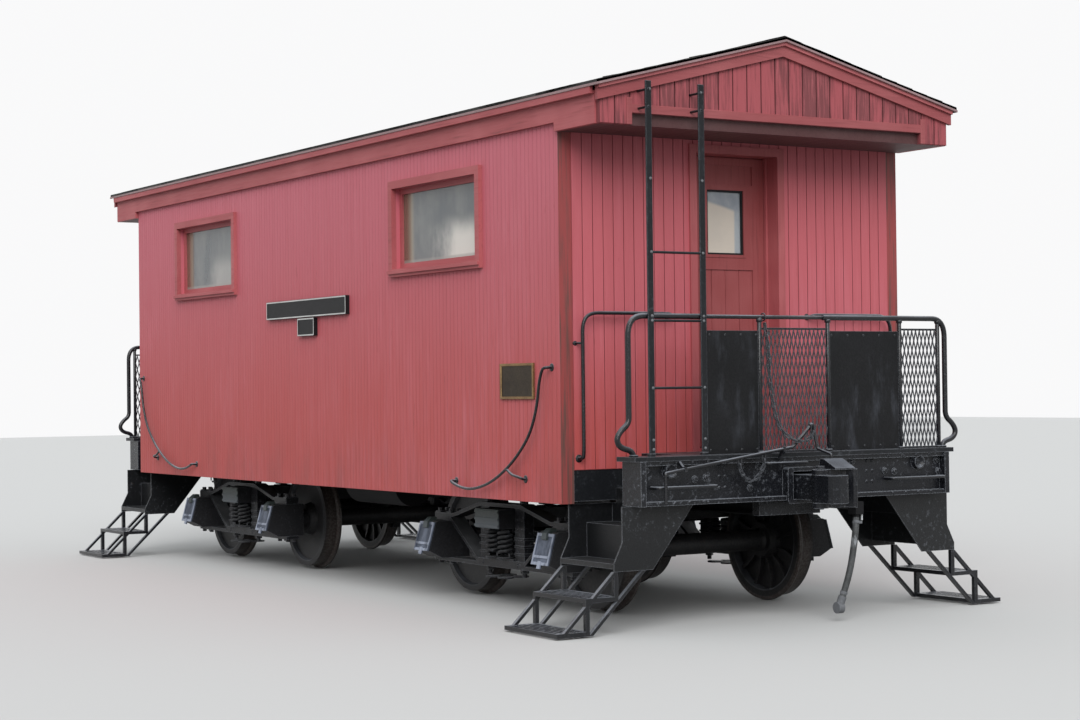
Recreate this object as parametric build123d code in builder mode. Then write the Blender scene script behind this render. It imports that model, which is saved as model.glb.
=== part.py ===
from build123d import *
from math import pi, radians, tan
import os

# Four-axle caboose with an open platform at each end, in millimetres.
# X runs along the car, Y across it and Z up. The origin is the middle of the
# car on the floor that the wheel flanges stand on. Each end is the other one
# turned half a turn about Z, so pieces are drawn at the +X end, the near end,
# and copied to the far end.

# Wheels and trucks
flange_height = 25
tread_radius = 419
rim_width = 140
rim_outer_y = 816
rim_depth = 62
plate_thickness = 28
hub_radius = 125
hub_length = 178
axle_radius = 76
journal_radius = 63.5
journal_end_y = 1120
rib_count = 12
rib_height = 26
truck_centres = 4660
wheelbase = 1711

# Arch-bar side frames
frame_y = 1000
bar_width = 120
bar_thickness = 28
top_bar_crown_half = 281
top_bar_rise = 131
column_inner = 185
column_width = 125
column_bolt_radius = 17
box_width = 220
box_height = 280
box_back_y = 890
lid_top_y = 1190
lid_bottom_y = 1250
lid_height = 205
lid_thickness = 14
lid_border = 6
box_bolt_offset = 84
journal_clearance = 0.7
bolster_end_y = 1170
bolster_height = 137
bolster_half_width = 150
bolster_end_half_width = 167
bowl_height = 15
center_plate_radius = 150
spring_radius = 60
plank_thickness = 14
seat_gap = 0.3
shoe_clearance = 10
shoe_thickness = 50

# Underframe
bearing_gap = 6
sill_depth = 300
sill_web_y = 165
sill_flange_y = 240
steel = 12
body_bolster_half_width = 130
side_sill_width = 75
floor_thickness = 95
deck_thickness = 30

# Body
body_length = 7632
body_width = 2902
wall_thickness = 90
skirt_drop = 320
end_wall_drop = 99
ceiling_above_deck = 2135
ceiling_thickness = 25
roof_end_overhang = 582
roof_side_overhang = 74
roof_rise = 386
eave_above_deck = 2415
roof_thickness = 31
gable_reach = 519
gable_thickness = 25
barge_thickness = 30
barge_depth = 110

# Windows and doors
window_center_x = 2135
window_width = 1250
window_height = 604
window_sill_above_deck = 1350
casing_width = 58
casing_depth = 40
sill_nose = 16
sash_width = 42
sash_depth = 34
glass_thickness = 6
door_opening = 700
door_height = 2050
door_thickness = 45
door_recess = 130
door_clearance = 5
door_window_width = 315
door_window_height = 452
door_window_top = 228
door_rail = 190
door_mid_rail = 105
door_panel_half = 238
panel_depth = 9
plank_count = 4
pane_frame = 20
pane_frame_depth = 5

# End platforms
platform_length = 681
beam_depth = 197
beam_end_inset = 43
beam_height = 286
beam_flange = 28
beam_recess = 42
deck_inset = 106
railing_inset = 60
rail_end_reach = 10
rail_bow_reach = 105
rail_foot_inset = 23
rail_above_deck = 900
rail_radius = 19
post_y = 290
post_radius = 15
mesh_post_y = 925
mesh_end_inset = 70
ladder_outer_y = 1170
ladder_inner_y = 763

# Grab irons and pipes
iron_radius = 11
iron_reach = 60
iron_flange = 6
wall_pipe_radius = 17
wall_pipe_reach = 70
wall_pipe_inset = 125
wall_pipe_end_y = 605
wall_pipe_height = 940
beam_iron_reach = 45
beam_iron_drop = 200
beam_iron_spans = ((-1186, -721), (763, 1235))
ladder_rungs = (438, 870, 1309)
ladder_above_deck = 2408

# Steps
step_plate_inset = 97
step_back_inset = 56
step_count = 3
step_rise = 225
step_going = 205
step_reach = 31
step_toe_reach = 65
step_cheek_depth = 563
step_cheek_foot = 235
tread_lip = 34
step_plate = 10
drop_tread_depth = 217
drop_tread_thickness = 28
drop_floor_gap = 12
drop_bar = 30
drop_slots = 5
drop_slot_width = 26

# Couplers and air line
coupler_above_deck = -229
shank_width = 130
shank_height = 165
head_height = 250
head_length = 300
coupler_reach = 533
knuckle_pin_back = 180
knuckle_pin_y = -125
knuckle_pin_radius = 20
lug_thickness = 34
hump_height = 67
chain_wire = 8
chain_pitch = 40
chain_slot = 11
chain_lap = 0.6
chain_eye_slot = 17
pipe_radius = 21
cock_reach = 143
cock_radius = 34
pipe_y = 345
hose_radius = 22

# Places that follow from the sizes
axle_z = flange_height + tread_radius
axle_offset = wheelbase / 2
truck_x = truck_centres / 2
box_top = axle_z + box_height / 2
box_bottom = axle_z - box_height / 2
inverted_top = box_top + bar_thickness
top_bar_seat = inverted_top
top_bar_crown = top_bar_seat + top_bar_rise
tie_bottom = box_bottom - bar_thickness
inverted_low = box_bottom
plank_bottom = inverted_low + bar_thickness
plank_top = plank_bottom + plank_thickness
bolster_top = top_bar_crown - bar_thickness - 10
bolster_bottom = bolster_top - bolster_height
bowl_floor = bolster_top - 25
center_plate_z = bowl_floor + seat_gap
sill_bottom = center_plate_z + 30
sill_top = sill_bottom + sill_depth
deck_top = sill_top + floor_thickness + 25
deck_bottom = deck_top - deck_thickness
cabin_floor_top = sill_top + floor_thickness
half_length = body_length / 2
half_width = body_width / 2
gable_face_x = half_length + gable_reach
beam_face_x = half_length + platform_length
beam_back_x = beam_face_x - beam_depth
deck_half_width = half_width - deck_inset
beam_half_width = deck_half_width - beam_end_inset
railing_x = beam_face_x - railing_inset
mesh_end_y = deck_half_width - mesh_end_inset
step_plate_x = beam_face_x - step_plate_inset
step_inner_x = half_length - step_back_inset
step_outer_y = deck_half_width + step_reach
step_toe_y = step_outer_y + step_toe_reach
coupler_face_x = beam_face_x + coupler_reach
roof_length = body_length + 2 * roof_end_overhang
roof_width = body_width + 2 * roof_side_overhang
inner_y = half_width - wall_thickness
skirt_bottom = deck_top - skirt_drop
end_wall_bottom = deck_top - end_wall_drop
ceiling_bottom = deck_top + ceiling_above_deck
ceiling_top = ceiling_bottom + ceiling_thickness
eave_y = roof_width / 2
eave_top = deck_top + eave_above_deck
ridge_top = eave_top + roof_rise
roof_slope = roof_rise / eave_y
roof_end_x = roof_length / 2
beam_top = deck_bottom
beam_bottom = beam_top - beam_height
rail_z = deck_top + rail_above_deck
coupler_z = deck_top + coupler_above_deck
bottom_tread = deck_top - step_count * step_rise
step_bottom = bottom_tread - 51
drop_rise = (bottom_tread - drop_floor_gap - drop_tread_thickness) / 2
ladder_top = deck_top + ladder_above_deck


def roof_under(y):
    """Height of the roof's underside at a distance y from the middle."""
    return ridge_top - roof_slope * abs(y) - roof_thickness


def block(x, y, z, mode=Mode.ADD):
    """A box given by its low and high limits along each axis."""
    with Locations(((x[0] + x[1]) / 2, (y[0] + y[1]) / 2, (z[0] + z[1]) / 2)):
        Box(x[1] - x[0], y[1] - y[0], z[1] - z[0], mode=mode)


def plate_yz(points, x, mode=Mode.ADD):
    """A flat plate drawn in the YZ plane between two places along X."""
    with BuildSketch(Plane.YZ.offset(x[0])) as outline:
        Polygon(*points, align=None)
    extrude(outline.sketch, amount=x[1] - x[0], mode=mode)


def plate_xz(points, y, mode=Mode.ADD):
    """A flat plate drawn in the XZ plane between two places along Y."""
    with BuildSketch(Plane.XZ.offset(-y[1])) as outline:
        Polygon(*points, align=None)
    extrude(outline.sketch, amount=y[1] - y[0], mode=mode)


def rod(points, radius, bend):
    """A round bar along straight runs joined by bends."""
    with BuildLine() as path:
        if len(points) > 2:
            FilletPolyline(*points, radius=bend)
        else:
            Line(*points)
    with BuildSketch(Plane(origin=path.line @ 0, z_dir=path.line % 0)) as section:
        Circle(radius)
    sweep(section.sketch, path=path.line)


def turned(piece):
    """A copy of a near-end piece at the far end, turned about Z."""
    return piece.part.rotate(Axis.Z, 180)


def write(piece, name):
    """Label a finished piece and write it as one STEP file."""
    piece.part.label = name
    export_step(piece.part, f"parts/{name}.step")


os.makedirs("parts", exist_ok=True)


# Side walls
def side_wall(side):
    with BuildPart() as wall:
        with BuildSketch(Plane.YZ.offset(-half_length)):
            Polygon((side * inner_y, skirt_bottom), (side * half_width, skirt_bottom),
                    (side * half_width, roof_under(half_width)),
                    (side * inner_y, roof_under(inner_y)), align=None)
        extrude(amount=body_length)
        for end in (1, -1):
            x = end * window_center_x
            z = deck_top + window_sill_above_deck
            block((x - window_width / 2, x + window_width / 2),
                  (side * (inner_y + half_width) / 2 - wall_thickness,
                   side * (inner_y + half_width) / 2 + wall_thickness),
                  (z, z + window_height), mode=Mode.SUBTRACT)
    return wall


write(side_wall(1), "side_wall_left")
write(side_wall(-1), "side_wall_right")

# End walls with their doorways
with BuildPart() as near_end_wall:
    plate_yz([(-inner_y, end_wall_bottom), (inner_y, end_wall_bottom),
              (inner_y, roof_under(inner_y)), (0, roof_under(0)),
              (-inner_y, roof_under(inner_y))],
             (half_length - wall_thickness, half_length))
    block((half_length - 2 * wall_thickness, half_length + wall_thickness),
          (-door_opening / 2 - steel, door_opening / 2 + steel),
          (deck_top - steel, deck_top + door_height + steel), mode=Mode.SUBTRACT)
with BuildPart() as end_walls:
    add(near_end_wall.part)
    add(turned(near_end_wall))
write(end_walls, "end_walls")

# Cabin floor between the walls
with BuildPart() as cabin_floor:
    block((-(half_length - wall_thickness), half_length - wall_thickness),
          (-inner_y, inner_y), (sill_top, cabin_floor_top))
write(cabin_floor, "cabin_floor")

# Roof, a thin slab folded at the ridge
with BuildPart() as roof:
    plate_yz([(-eave_y, roof_under(eave_y)), (0, roof_under(0)), (eave_y, roof_under(eave_y)),
              (eave_y, eave_top), (0, ridge_top), (-eave_y, eave_top)],
             (-roof_end_x, roof_end_x))
write(roof, "roof")

# Gable boards that close the roof ends, with ears beside the platform ceiling
gable_y = eave_y - 50
gable_ear_y = 1230
gable_bottom = ceiling_bottom + 75
with BuildPart() as near_gable:
    plate_yz([(-gable_y, ceiling_bottom), (-gable_ear_y, ceiling_bottom),
              (-gable_ear_y, gable_bottom), (gable_ear_y, gable_bottom),
              (gable_ear_y, ceiling_bottom), (gable_y, ceiling_bottom),
              (gable_y, roof_under(gable_y)), (0, roof_under(0)),
              (-gable_y, roof_under(gable_y))],
             (gable_face_x - gable_thickness, gable_face_x))
with BuildPart() as gable_boards:
    add(near_gable.part)
    add(turned(near_gable))
write(gable_boards, "gable_boards")

# Bargeboards under the roof's end edges
with BuildPart() as near_barge:
    plate_yz([(-eave_y + 25, roof_under(eave_y - 25)), (0, roof_under(0)),
              (eave_y - 25, roof_under(eave_y - 25)),
              (eave_y - 25, roof_under(eave_y - 25) - barge_depth),
              (0, roof_under(0) - barge_depth),
              (-eave_y + 25, roof_under(eave_y - 25) - barge_depth)],
             (gable_face_x, gable_face_x + barge_thickness))
with BuildPart() as bargeboards:
    add(near_barge.part)
    add(turned(near_barge))
write(bargeboards, "bargeboards")

# Eave boards: fascia, soffit and frieze along each side
fascia_bottom = roof_under(eave_y) - 60
frieze_bottom = fascia_bottom - 130
with BuildPart() as left_eave:
    plate_yz([(eave_y, roof_under(eave_y)), (eave_y, fascia_bottom),
              (half_width + 38, fascia_bottom), (half_width + 38, frieze_bottom),
              (half_width, frieze_bottom), (half_width, fascia_bottom + 20),
              (eave_y - 25, fascia_bottom + 20), (eave_y - 25, roof_under(eave_y - 25))],
             (-half_length, half_length))
    for end in (1, -1):
        low = min(end * half_length, end * (gable_face_x - gable_thickness))
        high = max(end * half_length, end * (gable_face_x - gable_thickness))
        plate_yz([(eave_y, roof_under(eave_y)), (eave_y, fascia_bottom),
                  (half_width + 38, fascia_bottom), (half_width + 38, ceiling_bottom),
                  (half_width, ceiling_bottom), (half_width, fascia_bottom + 20),
                  (eave_y - 25, fascia_bottom + 20), (eave_y - 25, roof_under(eave_y - 25))],
                 (low, high))
with BuildPart() as eave_boards:
    add(left_eave.part)
    add(turned(left_eave))
write(eave_boards, "eave_boards")

# Ceilings of the cabin and over each platform
with BuildPart() as near_ceiling:
    block((half_length, gable_face_x - gable_thickness), (-half_width, half_width),
          (ceiling_bottom, ceiling_top))
    block((gable_face_x - 2 * gable_thickness, gable_face_x - gable_thickness),
          (-half_width, half_width), (ceiling_top, gable_bottom + 25))
with BuildPart() as ceilings:
    block((-(half_length - wall_thickness), half_length - wall_thickness),
          (-inner_y, inner_y), (ceiling_bottom, ceiling_top))
    add(near_ceiling.part)
    add(turned(near_ceiling))
write(ceilings, "ceilings")


# Windows: casing on the wall, sash in the opening and one pane
def window_frame(x, width, height, bar, y, z):
    """A rectangular frame in the XZ plane round a clear opening."""
    with BuildSketch(Plane.XZ.offset(-y[1])) as outline:
        with Locations((x, z + height / 2)):
            Rectangle(width + 2 * bar, height + 2 * bar)
            Rectangle(width, height, mode=Mode.SUBTRACT)
    extrude(outline.sketch, amount=y[1] - y[0])


window_z = deck_top + window_sill_above_deck
sash_outer = half_width - 30
with BuildPart() as left_casings:
    for end in (1, -1):
        window_frame(end * window_center_x, window_width, window_height, casing_width,
                     (half_width, half_width + casing_depth), window_z)
        reach = window_width / 2 + casing_width
        plate_yz([(half_width, window_z), (half_width + casing_depth + sill_nose, window_z - 14),
                  (half_width + casing_depth + sill_nose, window_z - 36),
                  (half_width, window_z - 36)],
                 (end * window_center_x - reach, end * window_center_x + reach))
with BuildPart() as window_casings:
    add(left_casings.part)
    add(turned(left_casings))
write(window_casings, "window_casings")

with BuildPart() as left_sashes:
    for end in (1, -1):
        window_frame(end * window_center_x, window_width - 2 * sash_width,
                     window_height - 2 * sash_width, sash_width,
                     (sash_outer - sash_depth, sash_outer), window_z + sash_width)
with BuildPart() as window_sashes:
    add(left_sashes.part)
    add(turned(left_sashes))
write(window_sashes, "window_sashes")

with BuildPart() as left_panes:
    for end in (1, -1):
        x = end * window_center_x
        pane_y = sash_outer - sash_depth / 2
        block((x - window_width / 2 + sash_width, x + window_width / 2 - sash_width),
              (pane_y - glass_thickness / 2, pane_y + glass_thickness / 2),
              (window_z + sash_width, window_z + window_height - sash_width))
with BuildPart() as window_glass:
    add(left_panes.part)
    add(turned(left_panes))
write(window_glass, "window_glass")

# Door frames: a deep jamb box with a casing on the outside of the wall
door_inner_x = half_length - door_recess - door_thickness
door_hinge_y = door_opening / 2
threshold_top = deck_top + 20
hinge_radius = 9
hinge_length = 40
hinge_heights = (0.14, 0.5, 0.86)
door_bottom = threshold_top + door_clearance
door_top = deck_top + door_height - door_clearance
stop_depth = 14
with BuildPart() as near_door_frame:
    with BuildSketch(Plane.YZ.offset(door_inner_x)):
        with Locations((0, (deck_top + deck_top + door_height) / 2)):
            Rectangle(door_opening + 2 * steel, door_height + 2 * steel)
            Rectangle(door_opening, door_height, mode=Mode.SUBTRACT)
    extrude(amount=half_length - door_inner_x)
    with BuildSketch(Plane.YZ.offset(half_length)):
        with Locations((0, deck_top + (door_height + casing_width) / 2)):
            Rectangle(door_opening + 2 * casing_width, door_height + casing_width)
        with Locations((0, deck_top + door_height / 2)):
            Rectangle(door_opening, door_height, mode=Mode.SUBTRACT)
    extrude(amount=22)
    block((door_inner_x, half_length + 30), (-door_opening / 2, door_opening / 2),
          (deck_top, threshold_top))
    for side in (1, -1):
        edge = side * door_opening / 2
        block((door_inner_x + door_thickness + door_clearance,
               door_inner_x + door_thickness + door_clearance + 25),
              (min(edge, edge - side * stop_depth), max(edge, edge - side * stop_depth)),
              (threshold_top, deck_top + door_height))
    for share in hinge_heights:
        z = door_bottom + share * (door_top - door_bottom)
        for lift in (-hinge_length, hinge_length):
            with Locations((door_inner_x - hinge_radius, door_hinge_y, z + lift)):
                Cylinder(hinge_radius, hinge_length - seat_gap)
            block((door_inner_x - hinge_radius, door_inner_x + 1),
                  (door_hinge_y, door_hinge_y + steel),
                  (z + lift - hinge_length / 2 + seat_gap / 2,
                   z + lift + hinge_length / 2 - seat_gap / 2))
with BuildPart() as door_casings:
    add(near_door_frame.part)
    add(turned(near_door_frame))
write(door_casings, "door_casings")

# Doors, hung on the inner face of the frame
leaf_left = door_opening / 2 - door_clearance
with BuildPart() as near_door:
    block((door_inner_x, door_inner_x + door_thickness), (-leaf_left, leaf_left),
          (door_bottom, door_top))
    block((door_inner_x - 5, door_inner_x + door_thickness + 5),
          (-door_window_width / 2, door_window_width / 2),
          (door_top - door_window_top - door_window_height, door_top - door_window_top),
          mode=Mode.SUBTRACT)
    pane_bottom = door_top - door_window_top - door_window_height
    panels = ((door_bottom + door_rail, pane_bottom - door_mid_rail),
              (door_top - door_window_top + 40, door_top - 55))
    for face_x, way in ((door_inner_x, 1), (door_inner_x + door_thickness, -1)):
        depth = sorted((face_x - way, face_x + way * panel_depth))
        for low, high in panels:
            block(depth, (-door_panel_half, door_panel_half), (low, high), mode=Mode.SUBTRACT)
        groove = sorted((face_x, face_x + way * (panel_depth + 4)))
        for number in range(1, plank_count):
            y = -door_panel_half + number * 2 * door_panel_half / plank_count
            block(groove, (y - 3, y + 3), panels[0], mode=Mode.SUBTRACT)
        with BuildSketch(Plane.YZ.offset(face_x if way < 0 else face_x - pane_frame_depth)):
            with Locations((0, pane_bottom + door_window_height / 2)):
                Rectangle(door_window_width + 2 * pane_frame, door_window_height + 2 * pane_frame)
                Rectangle(door_window_width, door_window_height, mode=Mode.SUBTRACT)
        extrude(amount=pane_frame_depth)
    for share in hinge_heights:
        z = door_bottom + share * (door_top - door_bottom)
        with Locations((door_inner_x - hinge_radius, door_hinge_y, z)):
            Cylinder(hinge_radius, hinge_length - seat_gap)
        block((door_inner_x - hinge_radius, door_inner_x + 1),
              (door_hinge_y - steel, door_hinge_y - hinge_radius / 2),
              (z - hinge_length / 2 + seat_gap / 2, z + hinge_length / 2 - seat_gap / 2))
    for face_x, way in ((door_inner_x, -1), (door_inner_x + door_thickness, 1)):
        with Locations(Plane(origin=(face_x + way * 28, -leaf_left + 60, deck_top + 950),
                             z_dir=(1, 0, 0))):
            Cylinder(9, 56)
        with Locations((face_x + way * 50, -leaf_left + 60, deck_top + 950)):
            Sphere(26)
with BuildPart() as near_door_glass:
    middle = door_inner_x + door_thickness / 2
    block((middle - glass_thickness / 2, middle + glass_thickness / 2),
          (-door_window_width / 2, door_window_width / 2),
          (door_top - door_window_top - door_window_height, door_top - door_window_top))
with BuildPart() as far_door:
    add(turned(near_door))
with BuildPart() as far_door_glass:
    add(turned(near_door_glass))
write(near_door, "door_near")
write(far_door, "door_far")
write(near_door_glass, "door_glass_near")
write(far_door_glass, "door_glass_far")

# Centre sill: two channels back to back with a gap between them
sill_end_x = beam_back_x
shank_back_x = sill_end_x - 250
draft_gear_x = shank_back_x - 400
with BuildPart() as centre_sill:
    for side in (1, -1):
        plate_yz([(side * sill_web_y, sill_bottom), (side * sill_flange_y, sill_bottom),
                  (side * sill_flange_y, sill_bottom + steel),
                  (side * (sill_web_y + steel), sill_bottom + steel),
                  (side * (sill_web_y + steel), sill_top - steel),
                  (side * sill_flange_y, sill_top - steel), (side * sill_flange_y, sill_top),
                  (side * sill_web_y, sill_top)],
                 (-sill_end_x, sill_end_x))
    for low, high in ((-shank_back_x, -draft_gear_x), (draft_gear_x, shank_back_x)):
        block((low, high), (-sill_web_y, sill_web_y),
              (coupler_z - shank_height / 2 - 20, coupler_z + shank_height / 2 + 20))
write(centre_sill, "centre_sill")

# Side sills, and end sills that close the frame under the end walls
with BuildPart() as side_sills:
    for side in (1, -1):
        low = min(side * (inner_y - side_sill_width), side * inner_y)
        block((-half_length + wall_thickness, half_length - wall_thickness),
              (low, low + side_sill_width), (skirt_bottom + 15, sill_top))
write(side_sills, "side_sills")

with BuildPart() as end_sills:
    for end in (1, -1):
        low = min(end * half_length, end * (half_length - wall_thickness))
        for side in (1, -1):
            inside = min(side * sill_flange_y, side * inner_y)
            block((low, low + wall_thickness), (inside, inside + inner_y - sill_flange_y),
                  (skirt_bottom + 15, end_wall_bottom))
write(end_sills, "end_sills")

# Body bolsters with their centre plates and side bearings
bearing_y = 640
truck_bearing_top = bolster_top + 10
body_bearing_bottom = truck_bearing_top + bearing_gap
bolster_web_bottom = body_bearing_bottom + 14
pipe_z = sill_bottom + 50
with BuildPart() as near_body_bolster:
    for side in (1, -1):
        plate_yz([(side * sill_flange_y, bolster_web_bottom),
                  (side * (bearing_y + 60), bolster_web_bottom),
                  (side * (inner_y - side_sill_width), skirt_bottom + 40),
                  (side * (inner_y - side_sill_width), sill_top),
                  (side * sill_flange_y, sill_top)],
                 (truck_x - body_bolster_half_width, truck_x + body_bolster_half_width))
        block((truck_x - 60, truck_x + 60),
              (side * bearing_y - 50, side * bearing_y + 50),
              (body_bearing_bottom, bolster_web_bottom))
    block((truck_x - body_bolster_half_width, truck_x + body_bolster_half_width),
          (pipe_y - pipe_radius - 10, pipe_y + pipe_radius + 10),
          (bolster_web_bottom - 5, pipe_z + pipe_radius + 10), mode=Mode.SUBTRACT)
with BuildPart() as near_center_plate:
    with BuildSketch(Plane.XY.offset(center_plate_z)):
        with Locations((truck_x, 0)):
            Circle(center_plate_radius)
    extrude(amount=sill_bottom - center_plate_z)
    block((truck_x - body_bolster_half_width, truck_x + body_bolster_half_width),
          (-sill_web_y, sill_web_y), (sill_bottom, sill_top))
with BuildPart() as body_bolsters:
    add(near_body_bolster.part)
    add(near_center_plate.part)
    add(turned(near_body_bolster))
    add(turned(near_center_plate))
write(body_bolsters, "body_bolsters")

# Cross bearers between the trucks
with BuildPart() as cross_bearers:
    for x in (-650, 650):
        for side in (1, -1):
            plate_yz([(side * sill_flange_y, sill_bottom + 90),
                      (side * (inner_y - side_sill_width), skirt_bottom + 60),
                      (side * (inner_y - side_sill_width), sill_top),
                      (side * sill_flange_y, sill_top)],
                     (x - 50, x + 50))
write(cross_bearers, "cross_bearers")

# Platform decks with a stair well at each side
well_inner_y = step_outer_y - step_count * step_going + 65
with BuildPart() as near_deck:
    block((half_length, beam_face_x + 13), (-deck_half_width, deck_half_width),
          (deck_bottom, deck_top))
    for side in (1, -1):
        low = min(side * well_inner_y, side * (deck_half_width + 20))
        block((half_length - 5, beam_back_x),
              (low, low + deck_half_width + 20 - well_inner_y),
              (deck_bottom - 5, deck_top + 5), mode=Mode.SUBTRACT)
    block((half_length, beam_back_x), (-sill_flange_y, sill_flange_y), (sill_top, deck_bottom))
with BuildPart() as platform_decks:
    add(near_deck.part)
    add(turned(near_deck))
write(platform_decks, "platform_decks")

# End beams, with the opening that the coupler shank passes through
opening_half = shank_width / 2 + 15
opening_z = (coupler_z - shank_height / 2, coupler_z + shank_height / 2 + 20)
web_x = beam_face_x - beam_recess
striker_rim = 45
striker_depth = 58
pocket_y = 1050
pocket_drop = 95
pocket_radius = 50
corner_y = 1262
corner_depth = 14
carrier_depth = 72
with BuildPart() as near_beam:
    plate_xz([(beam_back_x, beam_bottom), (beam_face_x, beam_bottom),
              (beam_face_x, beam_bottom + beam_flange), (web_x, beam_bottom + beam_flange),
              (web_x, beam_top - beam_flange), (beam_face_x, beam_top - beam_flange),
              (beam_face_x, beam_top), (beam_back_x, beam_top)],
             (-beam_half_width, beam_half_width))
    with BuildSketch(Plane.YZ.offset(web_x)):
        with Locations((0, (opening_z[0] + opening_z[1]) / 2)):
            RectangleRounded(2 * (opening_half + striker_rim),
                             opening_z[1] - opening_z[0] + 2 * striker_rim - 35, 25)
    extrude(amount=striker_depth)
    block((beam_back_x - 5, beam_face_x + striker_depth), (-opening_half, opening_half),
          opening_z, mode=Mode.SUBTRACT)
    for side in (1, -1):
        block((web_x, beam_face_x + corner_depth),
              (min(side * corner_y, side * beam_half_width), max(side * corner_y, side * beam_half_width)),
              (beam_bottom, beam_top))
        with BuildSketch(Plane.YZ.offset(web_x)) as boss:
            with Locations((side * pocket_y, deck_top - pocket_drop)):
                Circle(pocket_radius)
        extrude(boss.sketch, amount=beam_recess - 6, taper=8)
        with Locations((web_x + beam_recess + 24, side * pocket_y, deck_top - pocket_drop)):
            Sphere(pocket_radius - 2, mode=Mode.SUBTRACT)
    block((beam_back_x, beam_back_x + carrier_depth), (-sill_flange_y - 18, sill_flange_y + 18),
          (sill_bottom, beam_bottom))
with BuildPart() as end_beams:
    add(near_beam.part)
    add(turned(near_beam))
write(end_beams, "end_beams")


# Step boxes: two side plates with the treads and risers folded between them
def stair_sheet(first, last, x):
    """Treads and risers from one tread number to another, as a folded sheet."""
    for step in range(first, last):
        outer = step_toe_y - step * step_going
        level = bottom_tread + step * step_rise
        block(x, (outer - step_going - step_plate, outer), (level - step_plate, level))
        block(x, (outer - step_plate, outer), (level - tread_lip, level))
        block(x, (outer - step_going - step_plate, outer - step_going),
              (level - step_plate, level + step_rise))


cheek_y = step_outer_y - step_cheek_depth
plate_points = [(cheek_y, beam_bottom), (step_outer_y, beam_bottom),
                (step_outer_y, bottom_tread + 130), (step_toe_y, bottom_tread),
                (step_toe_y, step_bottom), (step_outer_y - step_cheek_foot, step_bottom)]
with BuildPart() as near_left_steps:
    plate_yz(plate_points, (step_plate_x - step_plate, step_plate_x))
    plate_yz([(cheek_y, skirt_bottom - 5), (step_outer_y, skirt_bottom - 5)] + plate_points[2:],
             (step_inner_x, step_inner_x + step_plate))
    stair_sheet(0, 1, (step_inner_x, step_plate_x))
    block((step_inner_x, step_plate_x),
          (step_toe_y - 2 * step_going - step_plate, step_toe_y - step_going),
          (bottom_tread + step_rise - step_plate, bottom_tread + step_rise))
    block((step_inner_x, step_plate_x),
          (step_toe_y - step_going - step_plate, step_toe_y - step_going),
          (bottom_tread + step_rise - tread_lip, bottom_tread + step_rise))
    block((step_inner_x, step_plate_x),
          (step_toe_y - 2 * step_going - step_plate, step_toe_y - 2 * step_going),
          (bottom_tread + step_rise - step_plate, skirt_bottom - 5))
    block((half_length, beam_back_x),
          (step_toe_y - 2 * step_going - step_plate, step_toe_y - 2 * step_going),
          (skirt_bottom - 10, bottom_tread + 2 * step_rise))
    block((half_length, beam_back_x),
          (well_inner_y, step_toe_y - 2 * step_going),
          (bottom_tread + 2 * step_rise - step_plate, bottom_tread + 2 * step_rise))
    block((half_length, beam_back_x), (well_inner_y, well_inner_y + step_plate),
          (bottom_tread + 2 * step_rise - step_plate, deck_bottom))
with BuildPart() as near_steps:
    add(near_left_steps.part)
    mirror(about=Plane.XZ)
with BuildPart() as step_boxes:
    add(near_steps.part)
    add(turned(near_steps))
write(step_boxes, "step_boxes")

# Drop steps: slanted stringers that carry two gratings below each step box
drop_slope = drop_tread_depth / drop_rise


def slanted(y_top, z_top, z_low, x):
    """A flat bar that leans outwards as it goes down."""
    shift = drop_slope * (z_top - z_low)
    plate_yz([(y_top, z_top), (y_top - drop_bar, z_top), (y_top - drop_bar + shift, z_low),
              (y_top + shift, z_low)], x)


drop_low = bottom_tread - 2 * drop_rise - drop_tread_thickness
with BuildPart() as near_left_drop:
    for x in ((step_inner_x, step_inner_x + drop_bar), (step_plate_x - drop_bar, step_plate_x)):
        slanted(step_toe_y, step_bottom, drop_low, x)
        slanted(step_toe_y - drop_tread_depth, step_bottom, drop_low, x)
    for number in (1, 2):
        inner = step_toe_y + (number - 1) * drop_tread_depth
        level = bottom_tread - number * drop_rise
        block((step_inner_x, step_plate_x), (inner - drop_bar, inner + drop_tread_depth),
              (level - drop_tread_thickness, level))
        for slot in range(drop_slots):
            y = inner - drop_bar / 2 + (slot + 0.5) * drop_tread_depth / drop_slots + 8
            block((step_inner_x + drop_bar + 12, step_plate_x - drop_bar - 12),
                  (y - drop_slot_width / 2, y + drop_slot_width / 2),
                  (level - drop_tread_thickness - 1, level + 1), mode=Mode.SUBTRACT)
        above = step_bottom if number == 1 else level + drop_rise - drop_tread_thickness
        for x in ((step_inner_x, step_inner_x + drop_bar),
                  (step_plate_x - drop_bar, step_plate_x)):
            block(x, (inner - drop_bar, inner), (level - 1, above))
with BuildPart() as near_drop:
    add(near_left_drop.part)
    mirror(about=Plane.XZ)
with BuildPart() as drop_steps:
    add(near_drop.part)
    add(turned(near_drop))
write(drop_steps, "drop_steps")

# Uncoupling rods: places of the sloping rod across each end beam, and of its crank
rod_x = beam_face_x + 70
rod_outer_y = -1150
rod_knee_y = -1050
rod_end_y = -125
rod_low_z = beam_bottom + 225
rod_high_z = deck_top + 37
crank_tip = (rod_x + 40, 0, deck_top + 180)


def rod_height(y):
    """Height of the sloping part of the uncoupling rod."""
    return rod_low_z + (y - rod_knee_y) / (rod_end_y - rod_knee_y) * (rod_high_z - rod_low_z)


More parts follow.
